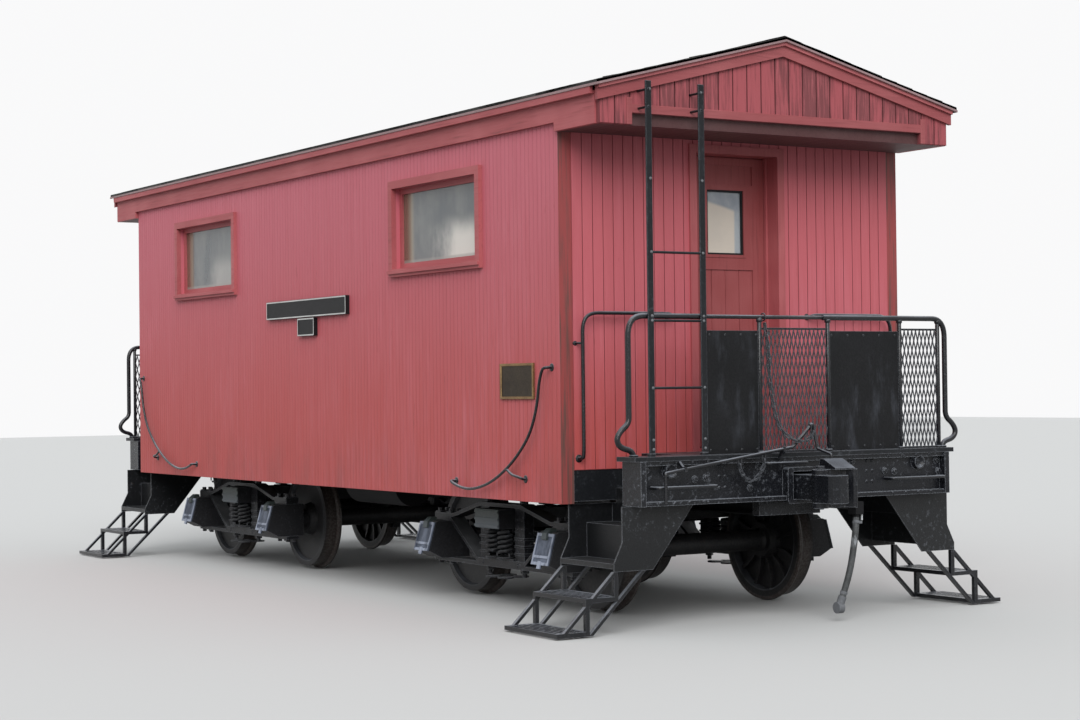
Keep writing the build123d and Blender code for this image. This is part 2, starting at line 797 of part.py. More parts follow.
# Chains of plain links. Each hangs from an eye, a link of its own at each end, which is
# welded to what carries it.
def chain_link(inner, slot):
    """One link, an elongated octagon of square bar that lies along X."""
    long = inner / 2 + chain_wire
    wide = slot / 2 + chain_wire
    cut = 0.6 * chain_wire
    with BuildPart() as link:
        with BuildSketch():
            Polygon((long, wide - cut), (long - cut, wide), (cut - long, wide), (-long, wide - cut),
                    (-long, cut - wide), (cut - long, -wide), (long - cut, -wide), (long, cut - wide),
                    align=None)
            Rectangle(inner, slot, mode=Mode.SUBTRACT)
        extrude(amount=chain_wire / 2, both=True)
    return link.part


def chain(points, plays):
    """Links along a smooth line, every second one turned a quarter: the two eyes and the rest."""
    with BuildLine() as line:
        Spline(*points, tangents=[(0, 0, -1), (0, 0, 1)])
    curve = line.edges()[0]
    count = int(curve.length / chain_pitch) + 1
    joints = [curve @ (number / count) for number in range(count + 1)]
    inner = curve.length / count - chain_lap
    across = Vector(1, 0, 0)
    links = []
    for number, (start, stop) in enumerate(zip(joints, joints[1:])):
        along = (stop - start).normalized()
        flat = (across - along * across.dot(along)).normalized()
        normal = along.cross(flat) if number % 2 else flat
        if number in (0, count - 1):
            play = plays[0] if number == 0 else plays[1]
            shape = chain_link(inner + 2 * chain_lap + play, chain_eye_slot)
        else:
            shape = chain_link(inner, chain_slot)
        place = Plane(origin=(start + stop) * 0.5, x_dir=along, z_dir=normal)
        links.append(shape.moved(place.location))
    return [links[0], links[-1]], links[1:-1]


chain_x = railing_x + 14
lift_eyes, lift_links = chain([
    (chain_x, -258, rail_z - 4), (chain_x + 13, -250, rail_z - 130),
    (chain_x + 26, -238, rail_z - 430), (chain_x + 44, -222, rail_z - 600),
    (chain_x + 94, -200, rail_z - 744), (chain_x + 134, -150, rail_z - 806),
    (chain_x + 166, -75, rail_z - 824), (chain_x + 178, -12, rail_z - 790),
    (crank_tip[0] + 16, -2, crank_tip[2] - 2)], (1.3, 2.6))
loop_ends = (-564, -367)
loop_sag = 152
loop_eyes, loop_links = chain([
    (rod_x, loop_ends[0], rod_height(loop_ends[0]) - 4),
    (rod_x, loop_ends[0] + 2, rod_height(loop_ends[0]) - 62),
    (rod_x, sum(loop_ends) / 2, rod_height(loop_ends[0]) - loop_sag),
    (rod_x, loop_ends[1] - 2, rod_height(loop_ends[0]) - 62),
    (rod_x, loop_ends[1], rod_height(loop_ends[1]) - 4)], (2.1, 0.6))
with BuildPart() as near_chains:
    for links in (lift_links, loop_links):
        for link in links:
            add(link)
with BuildPart() as chains:
    add(near_chains.part)
    add(turned(near_chains))
write(chains, "chains")

# End railings: top rail, posts and bowed end pipes
with BuildPart() as near_railing:
    outer = deck_half_width + rail_end_reach
    bow = deck_half_width + rail_bow_reach
    foot_y = deck_half_width - rail_foot_inset
    rod([(railing_x, -foot_y, deck_top), (railing_x, -foot_y, deck_top + 40),
         (railing_x, -bow, deck_top + 110), (railing_x, -outer, deck_top + 230),
         (railing_x, -outer, rail_z), (railing_x, outer, rail_z),
         (railing_x, outer, deck_top + 230), (railing_x, bow, deck_top + 110),
         (railing_x, foot_y, deck_top + 40), (railing_x, foot_y, deck_top)], rail_radius, 28)
    for y in (-post_y, post_y, mesh_post_y, mesh_end_y):
        rod([(railing_x, y, deck_top), (railing_x, y, rail_z)], post_radius, 0)
    add(lift_eyes[0])
with BuildPart() as end_railings:
    add(near_railing.part)
    add(turned(near_railing))
write(end_railings, "end_railings")

# Railing panels of sheet steel
with BuildPart() as near_panels:
    for y in ((-ladder_inner_y + 32, -post_y - post_radius), (post_y + post_radius, mesh_post_y - post_radius)):
        block((railing_x - 4, railing_x + 4), y, (deck_top, rail_z - 90))
with BuildPart() as railing_panels:
    add(near_panels.part)
    add(turned(near_panels))
write(railing_panels, "railing_panels")

# Railing mesh of expanded metal
diamond_width = 76
diamond_height = 118
mesh_strand = 14
with BuildPart() as near_mesh:
    for low, high in ((-post_y + post_radius, post_y - post_radius),
                      (mesh_post_y + post_radius, mesh_end_y - post_radius)):
        width = high - low
        height = rail_z - 70 - deck_top
        across = int((width - mesh_strand) // diamond_width)
        up = int((height - mesh_strand) // diamond_height)
        with BuildSketch(Plane.YZ.offset(railing_x - 3)):
            with Locations(((low + high) / 2, deck_top + height / 2)):
                Rectangle(width, height)
                half_w = (diamond_width - mesh_strand) / 2
                half_h = (diamond_height - mesh_strand) / 2
                with GridLocations(width / across, height / up, across, up):
                    Polygon((half_w, 0), (0, half_h), (-half_w, 0), (0, -half_h),
                            mode=Mode.SUBTRACT)
        extrude(amount=6)
with BuildPart() as railing_mesh:
    add(near_mesh.part)
    add(turned(near_mesh))
write(railing_mesh, "railing_mesh")

# Ladders from the platform to the roof
with BuildPart() as near_ladder:
    x = (railing_x + rail_radius, railing_x + rail_radius + 12)
    for y in (-ladder_outer_y, -ladder_inner_y):
        block(x, (y - 31, y + 31), (deck_top + 20, ladder_top))
        behind_barge = roof_under(y) - barge_depth < ladder_top - 12
        wall_x = gable_face_x + barge_thickness if behind_barge else gable_face_x
        block((wall_x, x[1]), (y - 31, y + 31), (ladder_top - 12, ladder_top))
        block((beam_face_x - 60, x[1] + 1), (y - 31, y + 31), (deck_top, deck_top + 20))
    for height in ladder_rungs:
        rod([(x[0] + 6, -ladder_outer_y, deck_top + height),
             (x[0] + 6, -ladder_inner_y, deck_top + height)], 9, 0)
with BuildPart() as end_ladders:
    add(near_ladder.part)
    add(turned(near_ladder))
write(end_ladders, "end_ladders")

# Curved grab irons on the side walls
iron_y = half_width + iron_reach
iron_top = (-32, 585)
iron_curve = ((-116, 520), (-214, 336), (-466, 32), (-816, -160), (-1183, -256))
iron_foot = (-1369, -235)
with BuildPart() as near_left_iron:
    places = [(half_length + x, deck_top + z) for x, z in (iron_top, *iron_curve, iron_foot)]
    route = [(x, iron_y, z) for x, z in places]
    rod([(places[0][0], half_width, places[0][1]), *route,
         (places[-1][0], half_width, places[-1][1])], iron_radius, 30)
    for x, z in (places[0], places[-1]):
        with Locations(Plane(origin=(x, half_width + iron_flange / 2, z), z_dir=(0, 1, 0))):
            Cylinder(3 * iron_radius, iron_flange)
with BuildPart() as side_grab_irons:
    add(near_left_iron.part)
    mirror(about=Plane.XZ)
    mirror(about=Plane.YZ)
write(side_grab_irons, "side_grab_irons")

# Grab pipes on the end walls beside the doors
with BuildPart() as near_wall_pipe:
    pipe_x = half_length + wall_pipe_reach
    outer = half_width - wall_pipe_inset
    rod([(half_length, outer, deck_top - 22), (pipe_x, outer, deck_top - 22),
         (pipe_x, outer, deck_top + wall_pipe_height),
         (pipe_x, wall_pipe_end_y, deck_top + wall_pipe_height),
         (half_length, wall_pipe_end_y, deck_top + wall_pipe_height)], wall_pipe_radius, 40)
    for y, z in ((outer, deck_top - 22), (wall_pipe_end_y, deck_top + wall_pipe_height)):
        with Locations(Plane(origin=(half_length + iron_flange / 2, y, z), z_dir=(1, 0, 0))):
            Cylinder(2.2 * wall_pipe_radius, iron_flange)
    mirror(about=Plane.XZ)
with BuildPart() as end_wall_grab_pipes:
    add(near_wall_pipe.part)
    add(turned(near_wall_pipe))
write(end_wall_grab_pipes, "end_wall_grab_pipes")

# Grab irons on the end beams
with BuildPart() as near_beam_irons:
    iron_x = beam_face_x + beam_iron_reach
    for low, high in beam_iron_spans:
        z = deck_top - beam_iron_drop
        rod([(beam_face_x - beam_recess, low, z), (iron_x, low, z), (iron_x, high, z),
             (beam_face_x - beam_recess, high, z)], iron_radius, 25)
with BuildPart() as beam_grab_irons:
    add(near_beam_irons.part)
    add(turned(near_beam_irons))
write(beam_grab_irons, "beam_grab_irons")

# Couplers: shank, head with its guard arm, knuckle pin and lock-lift hump
head_x = coupler_face_x - head_length
pin_x = coupler_face_x - knuckle_pin_back
head_bottom = coupler_z - head_height / 2
head_top = coupler_z + head_height / 2
guard_y = 160
throat_x = pin_x + 5
lug_radius = 52
knuckle_gap = 1
with BuildPart() as near_coupler:
    block((shank_back_x, head_x + 30), (-shank_width / 2, shank_width / 2),
          (coupler_z - shank_height / 2, coupler_z + shank_height / 2))
    with BuildSketch(Plane.XY.offset(head_bottom)) as casting:
        with BuildLine():
            Polyline((head_x, -shank_width / 2), (head_x, shank_width / 2),
                     (head_x + 60, guard_y - 22), (head_x + 150, guard_y),
                     (coupler_face_x - 105, guard_y - 38), (coupler_face_x - 118, guard_y - 60),
                     (throat_x + 14, guard_y - 88), (throat_x, guard_y - 110),
                     (throat_x, knuckle_pin_y + lug_radius), (pin_x - 24, knuckle_pin_y + lug_radius),
                     (pin_x - 54, knuckle_pin_y + 40), (pin_x - 64, knuckle_pin_y - 5),
                     (pin_x - 84, knuckle_pin_y - 5), (head_x, -shank_width / 2))
        make_face()
        fillet(casting.vertices(), radius=9)
    extrude(amount=head_height)
    for low in (head_bottom, head_top - lug_thickness):
        with BuildSketch(Plane.XY.offset(low)) as lug:
            with Locations((pin_x, knuckle_pin_y)):
                Circle(lug_radius)
            with Locations((pin_x - 40, knuckle_pin_y + 35)):
                Rectangle(90, 70)
        extrude(lug.sketch, amount=lug_thickness)
    for low, high, radius in ((head_bottom - 8, head_top + 20, knuckle_pin_radius),
                              (head_top + 10, head_top + 24, knuckle_pin_radius + 9)):
        with BuildSketch(Plane.XY.offset(low)) as pin:
            with Locations((pin_x, knuckle_pin_y)):
                Circle(radius)
        extrude(pin.sketch, amount=high - low)
    plate_xz([(head_x + 5, head_top - 1), (head_x + 20, head_top + hump_height),
              (head_x + 55, head_top + hump_height), (coupler_face_x - 120, head_top + 8),
              (coupler_face_x - 120, head_top - 1)], (-45, guard_y - 45))
with BuildPart() as couplers:
    add(near_coupler.part)
    add(turned(near_coupler))
write(couplers, "couplers")

# Knuckles, hooked round their pins and shut against the lock
with BuildPart() as near_knuckle:
    with BuildSketch(Plane.XY.offset(head_bottom + lug_thickness + knuckle_gap)) as hook:
        with BuildLine():
            Polyline((pin_x + 8, knuckle_pin_y - 47), (coupler_face_x - 45, knuckle_pin_y - 47),
                     (coupler_face_x - 12, knuckle_pin_y - 33), (coupler_face_x, knuckle_pin_y + 15),
                     (coupler_face_x - 5, -44), (coupler_face_x - 32, -14),
                     (coupler_face_x - 68, 3), (coupler_face_x - 104, 0),
                     (coupler_face_x - 116, -28), (coupler_face_x - 98, -62),
                     (throat_x + 40, -66), (throat_x + 2 * knuckle_gap, -50),
                     (throat_x + 2 * knuckle_gap, knuckle_pin_y + 30), (pin_x + 8, knuckle_pin_y - 47))
        make_face()
        fillet(hook.vertices(), radius=6)
        with Locations((pin_x, knuckle_pin_y)):
            Circle(lug_radius - 5)
            Circle(knuckle_pin_radius + seat_gap, mode=Mode.SUBTRACT)
    extrude(amount=head_height - 2 * lug_thickness - 2 * knuckle_gap)
with BuildPart() as coupler_knuckles:
    add(near_knuckle.part)
    add(turned(near_knuckle))
write(coupler_knuckles, "coupler_knuckles")

# Uncoupling rods across the end beams, with the crank and link that lift the lock
with BuildPart() as near_uncoupler:
    rod([(rod_x, rod_outer_y, beam_bottom + 20), (rod_x, rod_outer_y, rod_low_z - 15),
         (rod_x, rod_knee_y, rod_low_z), (rod_x, rod_end_y, rod_high_z), crank_tip], 11, 14)
    rod([(crank_tip[0] - 4, 14, crank_tip[2]), (crank_tip[0] + 20, 34, deck_top + 25),
         (head_x + 40, 34, deck_top - 10), (head_x + 40, 34, head_top + hump_height)], 9, 16)
    with Locations(crank_tip):
        Sphere(17)
    for y in (-1000, -200):
        z = rod_height(y)
        plate_xz([(beam_face_x, beam_top - beam_flange), (rod_x + 16, z - 16),
                  (rod_x + 16, z + 16), (rod_x - 16, z + 16), (beam_face_x + 16, beam_top - 4),
                  (beam_face_x, beam_top - 4)], (y - 8, y + 8))
    rod([(web_x, -299, deck_top - 68), (beam_face_x + 28, -299, deck_top - 68),
         (beam_face_x + 28, 40, deck_top - 68), (web_x, 40, deck_top - 68)], 9, 20)
    for eye in [lift_eyes[1]] + loop_eyes:
        add(eye)
with BuildPart() as uncoupling_rods:
    add(near_uncoupler.part)
    add(turned(near_uncoupler))
write(uncoupling_rods, "uncoupling_rods")

cock_x = beam_face_x + cock_reach
# Air hoses that hang from the angle cocks
hose_points = [(cock_x + 12, pipe_y - 10, pipe_z - 75), (cock_x + 26, pipe_y - 24, pipe_z - 135),
               (cock_x + 36, pipe_y - 46, pipe_z - 225), (cock_x + 38, pipe_y - 66, pipe_z - 325),
               (cock_x + 32, pipe_y - 86, pipe_z - 425), (cock_x + 20, pipe_y - 110, pipe_z - 520),
               (cock_x + 8, pipe_y - 130, pipe_z - 590)]


def hose_radii(points, run=0.45):
    """The bend radius at each inner point, as large as its two runs allow."""
    radii = []
    for before, here, after in zip(points, points[1:], points[2:]):
        a = Vector(*here) - Vector(*before)
        b = Vector(*after) - Vector(*here)
        turn = radians(a.get_angle(b))
        radii.append(run * min(a.length, b.length) / tan(turn / 2))
    return radii


with BuildLine() as hose_path:
    FilletPolyline(*hose_points, radius=hose_radii(hose_points))
hose_start = hose_path.line @ 0
hose_out = hose_path.line % 0

# Train line: the air pipe along the underframe, with an angle cock at each end
with BuildPart() as train_line:
    low_z = sill_bottom - pipe_radius - 10
    rod([(cock_x, pipe_y, pipe_z), (550, pipe_y, pipe_z), (400, pipe_y, low_z),
         (-400, -pipe_y, low_z), (-550, -pipe_y, pipe_z), (-cock_x, -pipe_y, pipe_z)],
        pipe_radius, 50)
    for end in (1, -1):
        block((end * cock_x - 40, end * cock_x + 40),
              (end * pipe_y - cock_radius, end * pipe_y + cock_radius),
              (pipe_z - 50, pipe_z + cock_radius))
        with BuildSketch(Plane(origin=(end * hose_start.X, end * hose_start.Y, hose_start.Z),
                               z_dir=(-end * hose_out.X, -end * hose_out.Y, -hose_out.Z))):
            Circle(hose_radius)
        extrude(amount=60)
        with Locations((end * (beam_back_x + 60), end * pipe_y, (pipe_z + beam_bottom) / 2)):
            Box(40, 60, beam_bottom - pipe_z)
write(train_line, "train_line")

# Brake cylinder and air reservoir under the floor
with BuildPart() as brake_cylinder:
    for x, y, radius, length in ((0, 720, 140, 520), (0, -760, 170, 900)):
        with Locations(Plane(origin=(x, y, sill_top - radius - 40), z_dir=(1, 0, 0))):
            Cylinder(radius, length)
        for offset in (-0.3, 0.3):
            block((x + offset * length - 20, x + offset * length + 20), (y - 40, y + 40),
                  (sill_top - 60, sill_top))
write(brake_cylinder, "brake_cylinder")

with BuildPart() as near_hose:
    add(hose_path.line)
    with BuildSketch(Plane(origin=hose_start, z_dir=hose_out)):
        Circle(hose_radius)
    sweep()
hose_length = hose_path.wires()[0].length
print("hose radii", [round(r) for r in hose_radii(hose_points)])
print("hose length", hose_length, "volume", near_hose.part.volume,
      "section times length", hose_length * pi * hose_radius ** 2)
with BuildPart() as far_hose:
    add(turned(near_hose))
write(near_hose, "air_hose_near")
write(far_hose, "air_hose_far")

# Glad hands on the hose ends
hose_end = hose_path.line @ 1
hose_way = hose_path.line % 1
with BuildPart() as near_glad_hand:
    with BuildSketch(Plane(origin=hose_end, z_dir=hose_way)):
        Circle(hose_radius + 6)
    extrude(amount=60)
    with Locations(Plane(origin=hose_end + hose_way * 80, z_dir=(0, 1, 0))):
        Cylinder(38, 46)
with BuildPart() as far_glad_hand:
    add(turned(near_glad_hand))
write(near_glad_hand, "glad_hand_near")
write(far_glad_hand, "glad_hand_far")

# Trucks, drawn about their own pivot and then set at each end
def bar_xz(centreline, thickness):
    """Outline of a bent bar, straight on top of its listed lower edge."""
    return centreline + [(x, z + thickness) for x, z in reversed(centreline)]


seat_half = box_width / 2 + 10
frame_end = axle_offset + seat_half
frame_limits = (frame_y - bar_width / 2, frame_y + bar_width / 2)
slope_start = axle_offset - seat_half
column_outer = column_inner + column_width


def side_frame_half():
    """Half of one side frame, at +X and +Y of the truck's middle."""
    plate_xz(bar_xz([(0, top_bar_crown - bar_thickness), (top_bar_crown_half,
                     top_bar_crown - bar_thickness), (slope_start - 40, top_bar_seat),
                     (frame_end, top_bar_seat)], bar_thickness), frame_limits)
    plate_xz(bar_xz([(0, inverted_low), (column_outer + 30, inverted_low),
                     (slope_start, box_top), (frame_end, box_top)], bar_thickness), frame_limits)
    plate_xz([(0, tie_bottom), (frame_end, tie_bottom), (frame_end, box_bottom),
              (0, box_bottom)], frame_limits)
    block((column_inner, column_outer), (frame_limits[0] + 20, frame_limits[1] - 20),
          (plank_bottom, top_bar_crown - bar_thickness))
    for x in (axle_offset - box_bolt_offset, axle_offset + box_bolt_offset):
        block((x - 34, x + 34), (frame_y - bar_width / 2 + 6, frame_y + bar_width / 2 - 6),
              (top_bar_seat + bar_thickness - 1, top_bar_seat + bar_thickness + 9))
        for y in (frame_y - 30, frame_y + 30):
            for z, deep in ((top_bar_seat + bar_thickness + 8, 24), (tie_bottom - 24, 25)):
                with BuildSketch(Plane.XY.offset(z)) as nut:
                    with Locations((x, y)):
                        RegularPolygon(19, 6)
                extrude(nut.sketch, amount=deep)
    for x in (column_inner + column_width / 2,):
        rod([(x, frame_y, tie_bottom - 60), (x, frame_y, top_bar_crown + 25)],
            column_bolt_radius, 0)
        for z in (plank_top + 30, plank_top + 85, plank_top + 140):
            block((column_inner + 1, column_outer + 6),
                  (frame_limits[0] + 12, frame_limits[1] - 12), (z, z + 16))
        for z in (tie_bottom - 30, top_bar_crown):
            with BuildSketch(Plane.XY.offset(z)) as nut:
                with Locations((x, frame_y)):
                    RegularPolygon(column_bolt_radius * 1.8, 6)
            extrude(nut.sketch, amount=25 if z > axle_z else 30)


def truck_side_frames(center_x):
    with BuildPart() as frames:
        side_frame_half()
        mirror(about=Plane.YZ)
        mirror(about=Plane.XZ)
    with BuildPart() as placed:
        add(frames.part.moved(Location((center_x, 0, 0))))
    return placed


def truck_bolster(center_x):
    low = bolster_top - bolster_height
    with BuildPart() as bolster:
        plate_yz([(-frame_y + 70, low), (frame_y - 70, low), (frame_y - 70, bolster_top),
                  (360, bolster_top), (300, bowl_floor - 15), (-300, bowl_floor - 15),
                  (-360, bolster_top), (-frame_y + 70, bolster_top)],
                 (-bolster_half_width, bolster_half_width))
        for side in (1, -1):
            inside = min(side * (frame_y - 70), side * bolster_end_y)
            block((-bolster_end_half_width, bolster_end_half_width),
                  (inside, inside + bolster_end_y - frame_y + 70), (low, bolster_top))
            for share in (0.06, 0.42, 0.80):
                z = low + share * bolster_height
                band = sorted((side * (bolster_end_y - 4), side * (bolster_end_y + 8)))
                block((-bolster_end_half_width, bolster_end_half_width), band, (z, z + 18))
            block((-70, 70), (side * bearing_y - 60, side * bearing_y + 60),
                  (bolster_top - 1, truck_bearing_top))
        with BuildSketch(Plane.XY.offset(bowl_floor - 15)):
            Circle(center_plate_radius + 30)
        extrude(amount=15)
        with BuildSketch(Plane.XY.offset(bowl_floor)):
            Circle(center_plate_radius + 30)
            Circle(center_plate_radius + 5, mode=Mode.SUBTRACT)
        extrude(amount=bowl_height)
    with BuildPart() as placed:
        add(bolster.part.moved(Location((center_x, 0, 0))))
    return placed


# A spring nest stands as one ringed column, with a seat plate at each end
nest_height = bolster_bottom - plank_top
nest_seat = 10
nest_coils = 5
coil_depth = 16
with BuildPart() as nest:
    with BuildSketch(Plane.XZ) as outline:
        pitch = (nest_height - 2 * nest_seat) / nest_coils
        ring = [(0, 0), (spring_radius, 0), (spring_radius, nest_seat)]
        for coil in range(nest_coils):
            foot = nest_seat + coil * pitch
            ring += [(spring_radius - coil_depth, foot + 0.05 * pitch),
                     (spring_radius, foot + 0.30 * pitch), (spring_radius, foot + 0.70 * pitch),
                     (spring_radius - coil_depth, foot + 0.95 * pitch)]
        ring += [(spring_radius, nest_height - nest_seat), (spring_radius, nest_height), (0, nest_height)]
        Polygon(*ring, align=None)
    revolve(outline.sketch, axis=Axis.Z)


def truck_springs(center_x):
    """Spring plank and the spring nests that carry the bolster."""
    with BuildPart() as nests:
        block((-column_inner + 5, column_inner - 5), (-frame_y - 60, frame_y + 60),
              (plank_bottom, plank_top))
        for side in (1, -1):
            for x in (-85, 85):
                for y in (-64, 64):
                    add(nest.part.moved(Location((x, side * (frame_y + y), plank_top))))
    with BuildPart() as placed:
        add(nests.part.moved(Location((center_x, 0, 0))))
    return placed


def truck_journal_boxes(center_x):
    with BuildPart() as boxes:
        for x in (-axle_offset, axle_offset):
            with BuildSketch(Plane.YZ.offset(x - box_width / 2)):
                Polygon((box_back_y, box_bottom), (lid_top_y - 60, box_bottom),
                        (lid_bottom_y - lid_thickness, box_top - lid_height - 20),
                        (lid_top_y - lid_thickness, box_top - 10),
                        (lid_top_y - 30, box_top), (box_back_y, box_top), align=None)
            extrude(amount=box_width)
            bore_end = journal_end_y + 5
            with Locations(Plane(origin=(x, (box_back_y + bore_end) / 2, axle_z),
                                 z_dir=(0, 1, 0))):
                Cylinder(journal_radius + journal_clearance, bore_end - box_back_y,
                         mode=Mode.SUBTRACT)
            plate_yz([(lid_bottom_y - lid_thickness, box_top - lid_height - 20),
                      (lid_bottom_y, box_top - lid_height - 20), (lid_top_y, box_top - 10),
                      (lid_top_y - lid_thickness, box_top - 10)],
                     (x - box_width / 2 - 4, x + box_width / 2 + 4))
            foot = (lid_bottom_y, box_top - lid_height - 20)
            head = (lid_top_y, box_top - 10)
            lean = (Vector(*head) - Vector(*foot)).normalized()
            out = Vector(lean.Y, -lean.X)

            def on_lid(share, proud):
                """A place on the lid's face, as y and z, some way up it and proud of it."""
                here = Vector(*foot) * (1 - share) + Vector(*head) * share + out * proud
                return (here.X, here.Y)

            for low, high, half in ((0, 0.09, box_width / 2 - 2), (0.91, 1, box_width / 2 - 2),
                                    (0.22, 0.30, box_width / 2 - 20)):
                plate_yz([on_lid(low, -2), on_lid(low, lid_border), on_lid(high, lid_border),
                          on_lid(high, -2)], (x - half, x + half))
            for edge in (-1, 1):
                near_x = x + edge * (box_width / 2 - 10)
                plate_yz([on_lid(0.02, -2), on_lid(0.02, lid_border), on_lid(0.98, lid_border),
                          on_lid(0.98, -2)], (near_x - 8, near_x + 8))
            plate_yz([on_lid(0.80, -2), on_lid(0.80, lid_border + 8), on_lid(1, lid_border + 12),
                      (lid_top_y - 20, box_top + 26), (lid_top_y - 62, box_top + 26),
                      (lid_top_y - 62, box_top - 2), (lid_top_y - lid_thickness, box_top - 14)],
                     (x - 32, x + 32))
            plate_yz([on_lid(0.12, -2), on_lid(0.12, lid_border + 5), on_lid(-0.12, lid_border + 5),
                      on_lid(-0.12, -6), on_lid(0.02, -10)], (x - 18, x + 18))
        mirror(about=Plane.XZ)
    with BuildPart() as placed:
        add(boxes.part.moved(Location((center_x, 0, 0))))
    return placed


def truck_brake_beams(center_x):
    """Inside-hung brake beams with a shoe at each wheel."""
    shoe_inner = axle_offset - tread_radius - shoe_clearance - shoe_thickness
    bracket_z = plank_top + 190
    with BuildPart() as beams:
        block((shoe_inner - 55, shoe_inner - 15), (-760, 760), (axle_z - 80, axle_z - 40))
        for side in (1, -1):
            y = side * (rim_outer_y - 55)
            with BuildSketch(Plane.XZ.offset(-y - 40)):
                with Locations((axle_offset, axle_z)):
                    Circle(tread_radius + shoe_clearance + shoe_thickness)
                    Circle(tread_radius + shoe_clearance, mode=Mode.SUBTRACT)
                with Locations((shoe_inner + 50, axle_z - 60)):
                    Rectangle(190, 300, mode=Mode.INTERSECT)
            extrude(amount=80)
            block((shoe_inner - 55, shoe_inner + 15), (y - 30, y + 30),
                  (axle_z - 90, axle_z - 20))
            hanger = shoe_inner - 35
            rod([(hanger, y, axle_z - 60), (hanger, y, bracket_z)], 12, 0)
            arm = (min(y - 20 * side, side * (frame_limits[0] + 20)),
                   max(y - 20 * side, side * (frame_limits[0] + 20)))
            block((column_outer - 50, hanger + 20), arm, (bracket_z - 16, bracket_z + 16))
        mirror(about=Plane.YZ)
    with BuildPart() as placed:
        add(beams.part.moved(Location((center_x, 0, 0))))
    return placed


def wheelset(x):
    """Axle with a flanged wheel near each end, turned about its own axis."""
    back = rim_outer_y - rim_width
    outer = tread_radius
    web = rim_outer_y - rim_width / 2 - 5
    with BuildPart() as wheels:
        with BuildSketch(Plane.XY) as section:
            with BuildLine():
                Polyline((0, 0), (0, journal_end_y), (journal_radius, journal_end_y),
                         (journal_radius, box_back_y), (axle_radius + 10, box_back_y - 20),
                         (axle_radius + 10, rim_outer_y + 10), (hub_radius, rim_outer_y + 10),
                         (hub_radius + 20, web + plate_thickness),
                         (outer - rim_depth, web + plate_thickness + 15),
                         (outer - rim_depth + 12, rim_outer_y), (outer - 5, rim_outer_y),
                         (outer, back + 38), (outer + flange_height - 4, back + 26),
                         (outer + flange_height, back + 16), (outer + flange_height - 6, back),
                         (outer - rim_depth + 8, back), (outer - rim_depth, web - 15 + plate_thickness / 4),
                         (hub_radius + 20, web - plate_thickness / 2),
                         (hub_radius, rim_outer_y + 10 - hub_length),
                         (axle_radius + 10, rim_outer_y + 10 - hub_length),
                         (axle_radius, rim_outer_y - hub_length - 20), (axle_radius, 0), (0, 0))
            make_face()
        revolve(axis=Axis.Y)
        rib_back = web - plate_thickness / 2 - rib_height
        for number in range(rib_count):
            turn = Location((0, 0, 0), (0, number * 360 / rib_count, 0))
            with BuildPart(mode=Mode.PRIVATE) as rib:
                with BuildSketch(Plane.XZ.offset(-rib_back - rib_height - 6)) as outline:
                    with BuildLine():
                        inner_arc = ThreePointArc((hub_radius + 6, 0), (240, 38), (outer - rim_depth + 6, 40))
                        outer_arc = ThreePointArc((outer - rim_depth + 6, 64), (236, 60), (hub_radius + 6, 20))
                        Line(inner_arc @ 1, outer_arc @ 0)
                        Line(outer_arc @ 1, inner_arc @ 0)
                    make_face()
                extrude(outline.sketch, amount=rib_height + 6)
            add(rib.part.moved(turn))
        mirror(about=Plane.XZ)
    with BuildPart() as placed:
        add(wheels.part.moved(Location((x, 0, axle_z))))
    return placed


for name, center_x in (("near", truck_x), ("far", -truck_x)):
    write(truck_side_frames(center_x), f"truck_{name}_side_frames")
    write(truck_bolster(center_x), f"truck_{name}_bolster")
    write(truck_springs(center_x), f"truck_{name}_springs")
    write(truck_journal_boxes(center_x), f"truck_{name}_journal_boxes")
    write(truck_brake_beams(center_x), f"truck_{name}_brake_beams")
    side = 1 if center_x > 0 else -1
    write(wheelset(center_x + side * axle_offset), f"wheelset_{name}_outer")
    write(wheelset(center_x - side * axle_offset), f"wheelset_{name}_inner")
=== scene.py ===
from contextlib import contextmanager
from math import atan2, cos, pi, radians, sin, tan

import bpy
import bmesh
from mathutils import Matrix, Vector


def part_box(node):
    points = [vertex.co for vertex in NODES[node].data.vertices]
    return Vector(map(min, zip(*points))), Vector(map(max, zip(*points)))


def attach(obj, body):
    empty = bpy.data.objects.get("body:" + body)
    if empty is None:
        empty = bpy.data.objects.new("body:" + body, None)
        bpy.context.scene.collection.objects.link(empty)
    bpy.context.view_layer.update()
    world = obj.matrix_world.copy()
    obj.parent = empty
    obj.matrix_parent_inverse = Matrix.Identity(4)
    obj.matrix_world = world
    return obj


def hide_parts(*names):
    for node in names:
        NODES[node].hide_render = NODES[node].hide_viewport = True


bl_info = {
    "name": "Caboose looks",
    "version": (1, 0, 0),
    "blender": (4, 5, 0),
    "location": "View3D > Sidebar > Caboose",
    "description": "Paint, boards, signs and small ironwork for a wood-sided caboose",
    "category": "Object",
}

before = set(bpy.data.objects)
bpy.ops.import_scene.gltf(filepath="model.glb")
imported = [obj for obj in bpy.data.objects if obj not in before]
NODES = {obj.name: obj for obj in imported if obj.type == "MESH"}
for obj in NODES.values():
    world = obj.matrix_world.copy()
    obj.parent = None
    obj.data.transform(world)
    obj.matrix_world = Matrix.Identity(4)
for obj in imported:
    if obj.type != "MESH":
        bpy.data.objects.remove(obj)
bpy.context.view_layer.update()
ENDS = (("near", 1), ("far", -1))


# Sizes in metres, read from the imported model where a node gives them
def low(node):
    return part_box(node)[0]


def high(node):
    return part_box(node)[1]


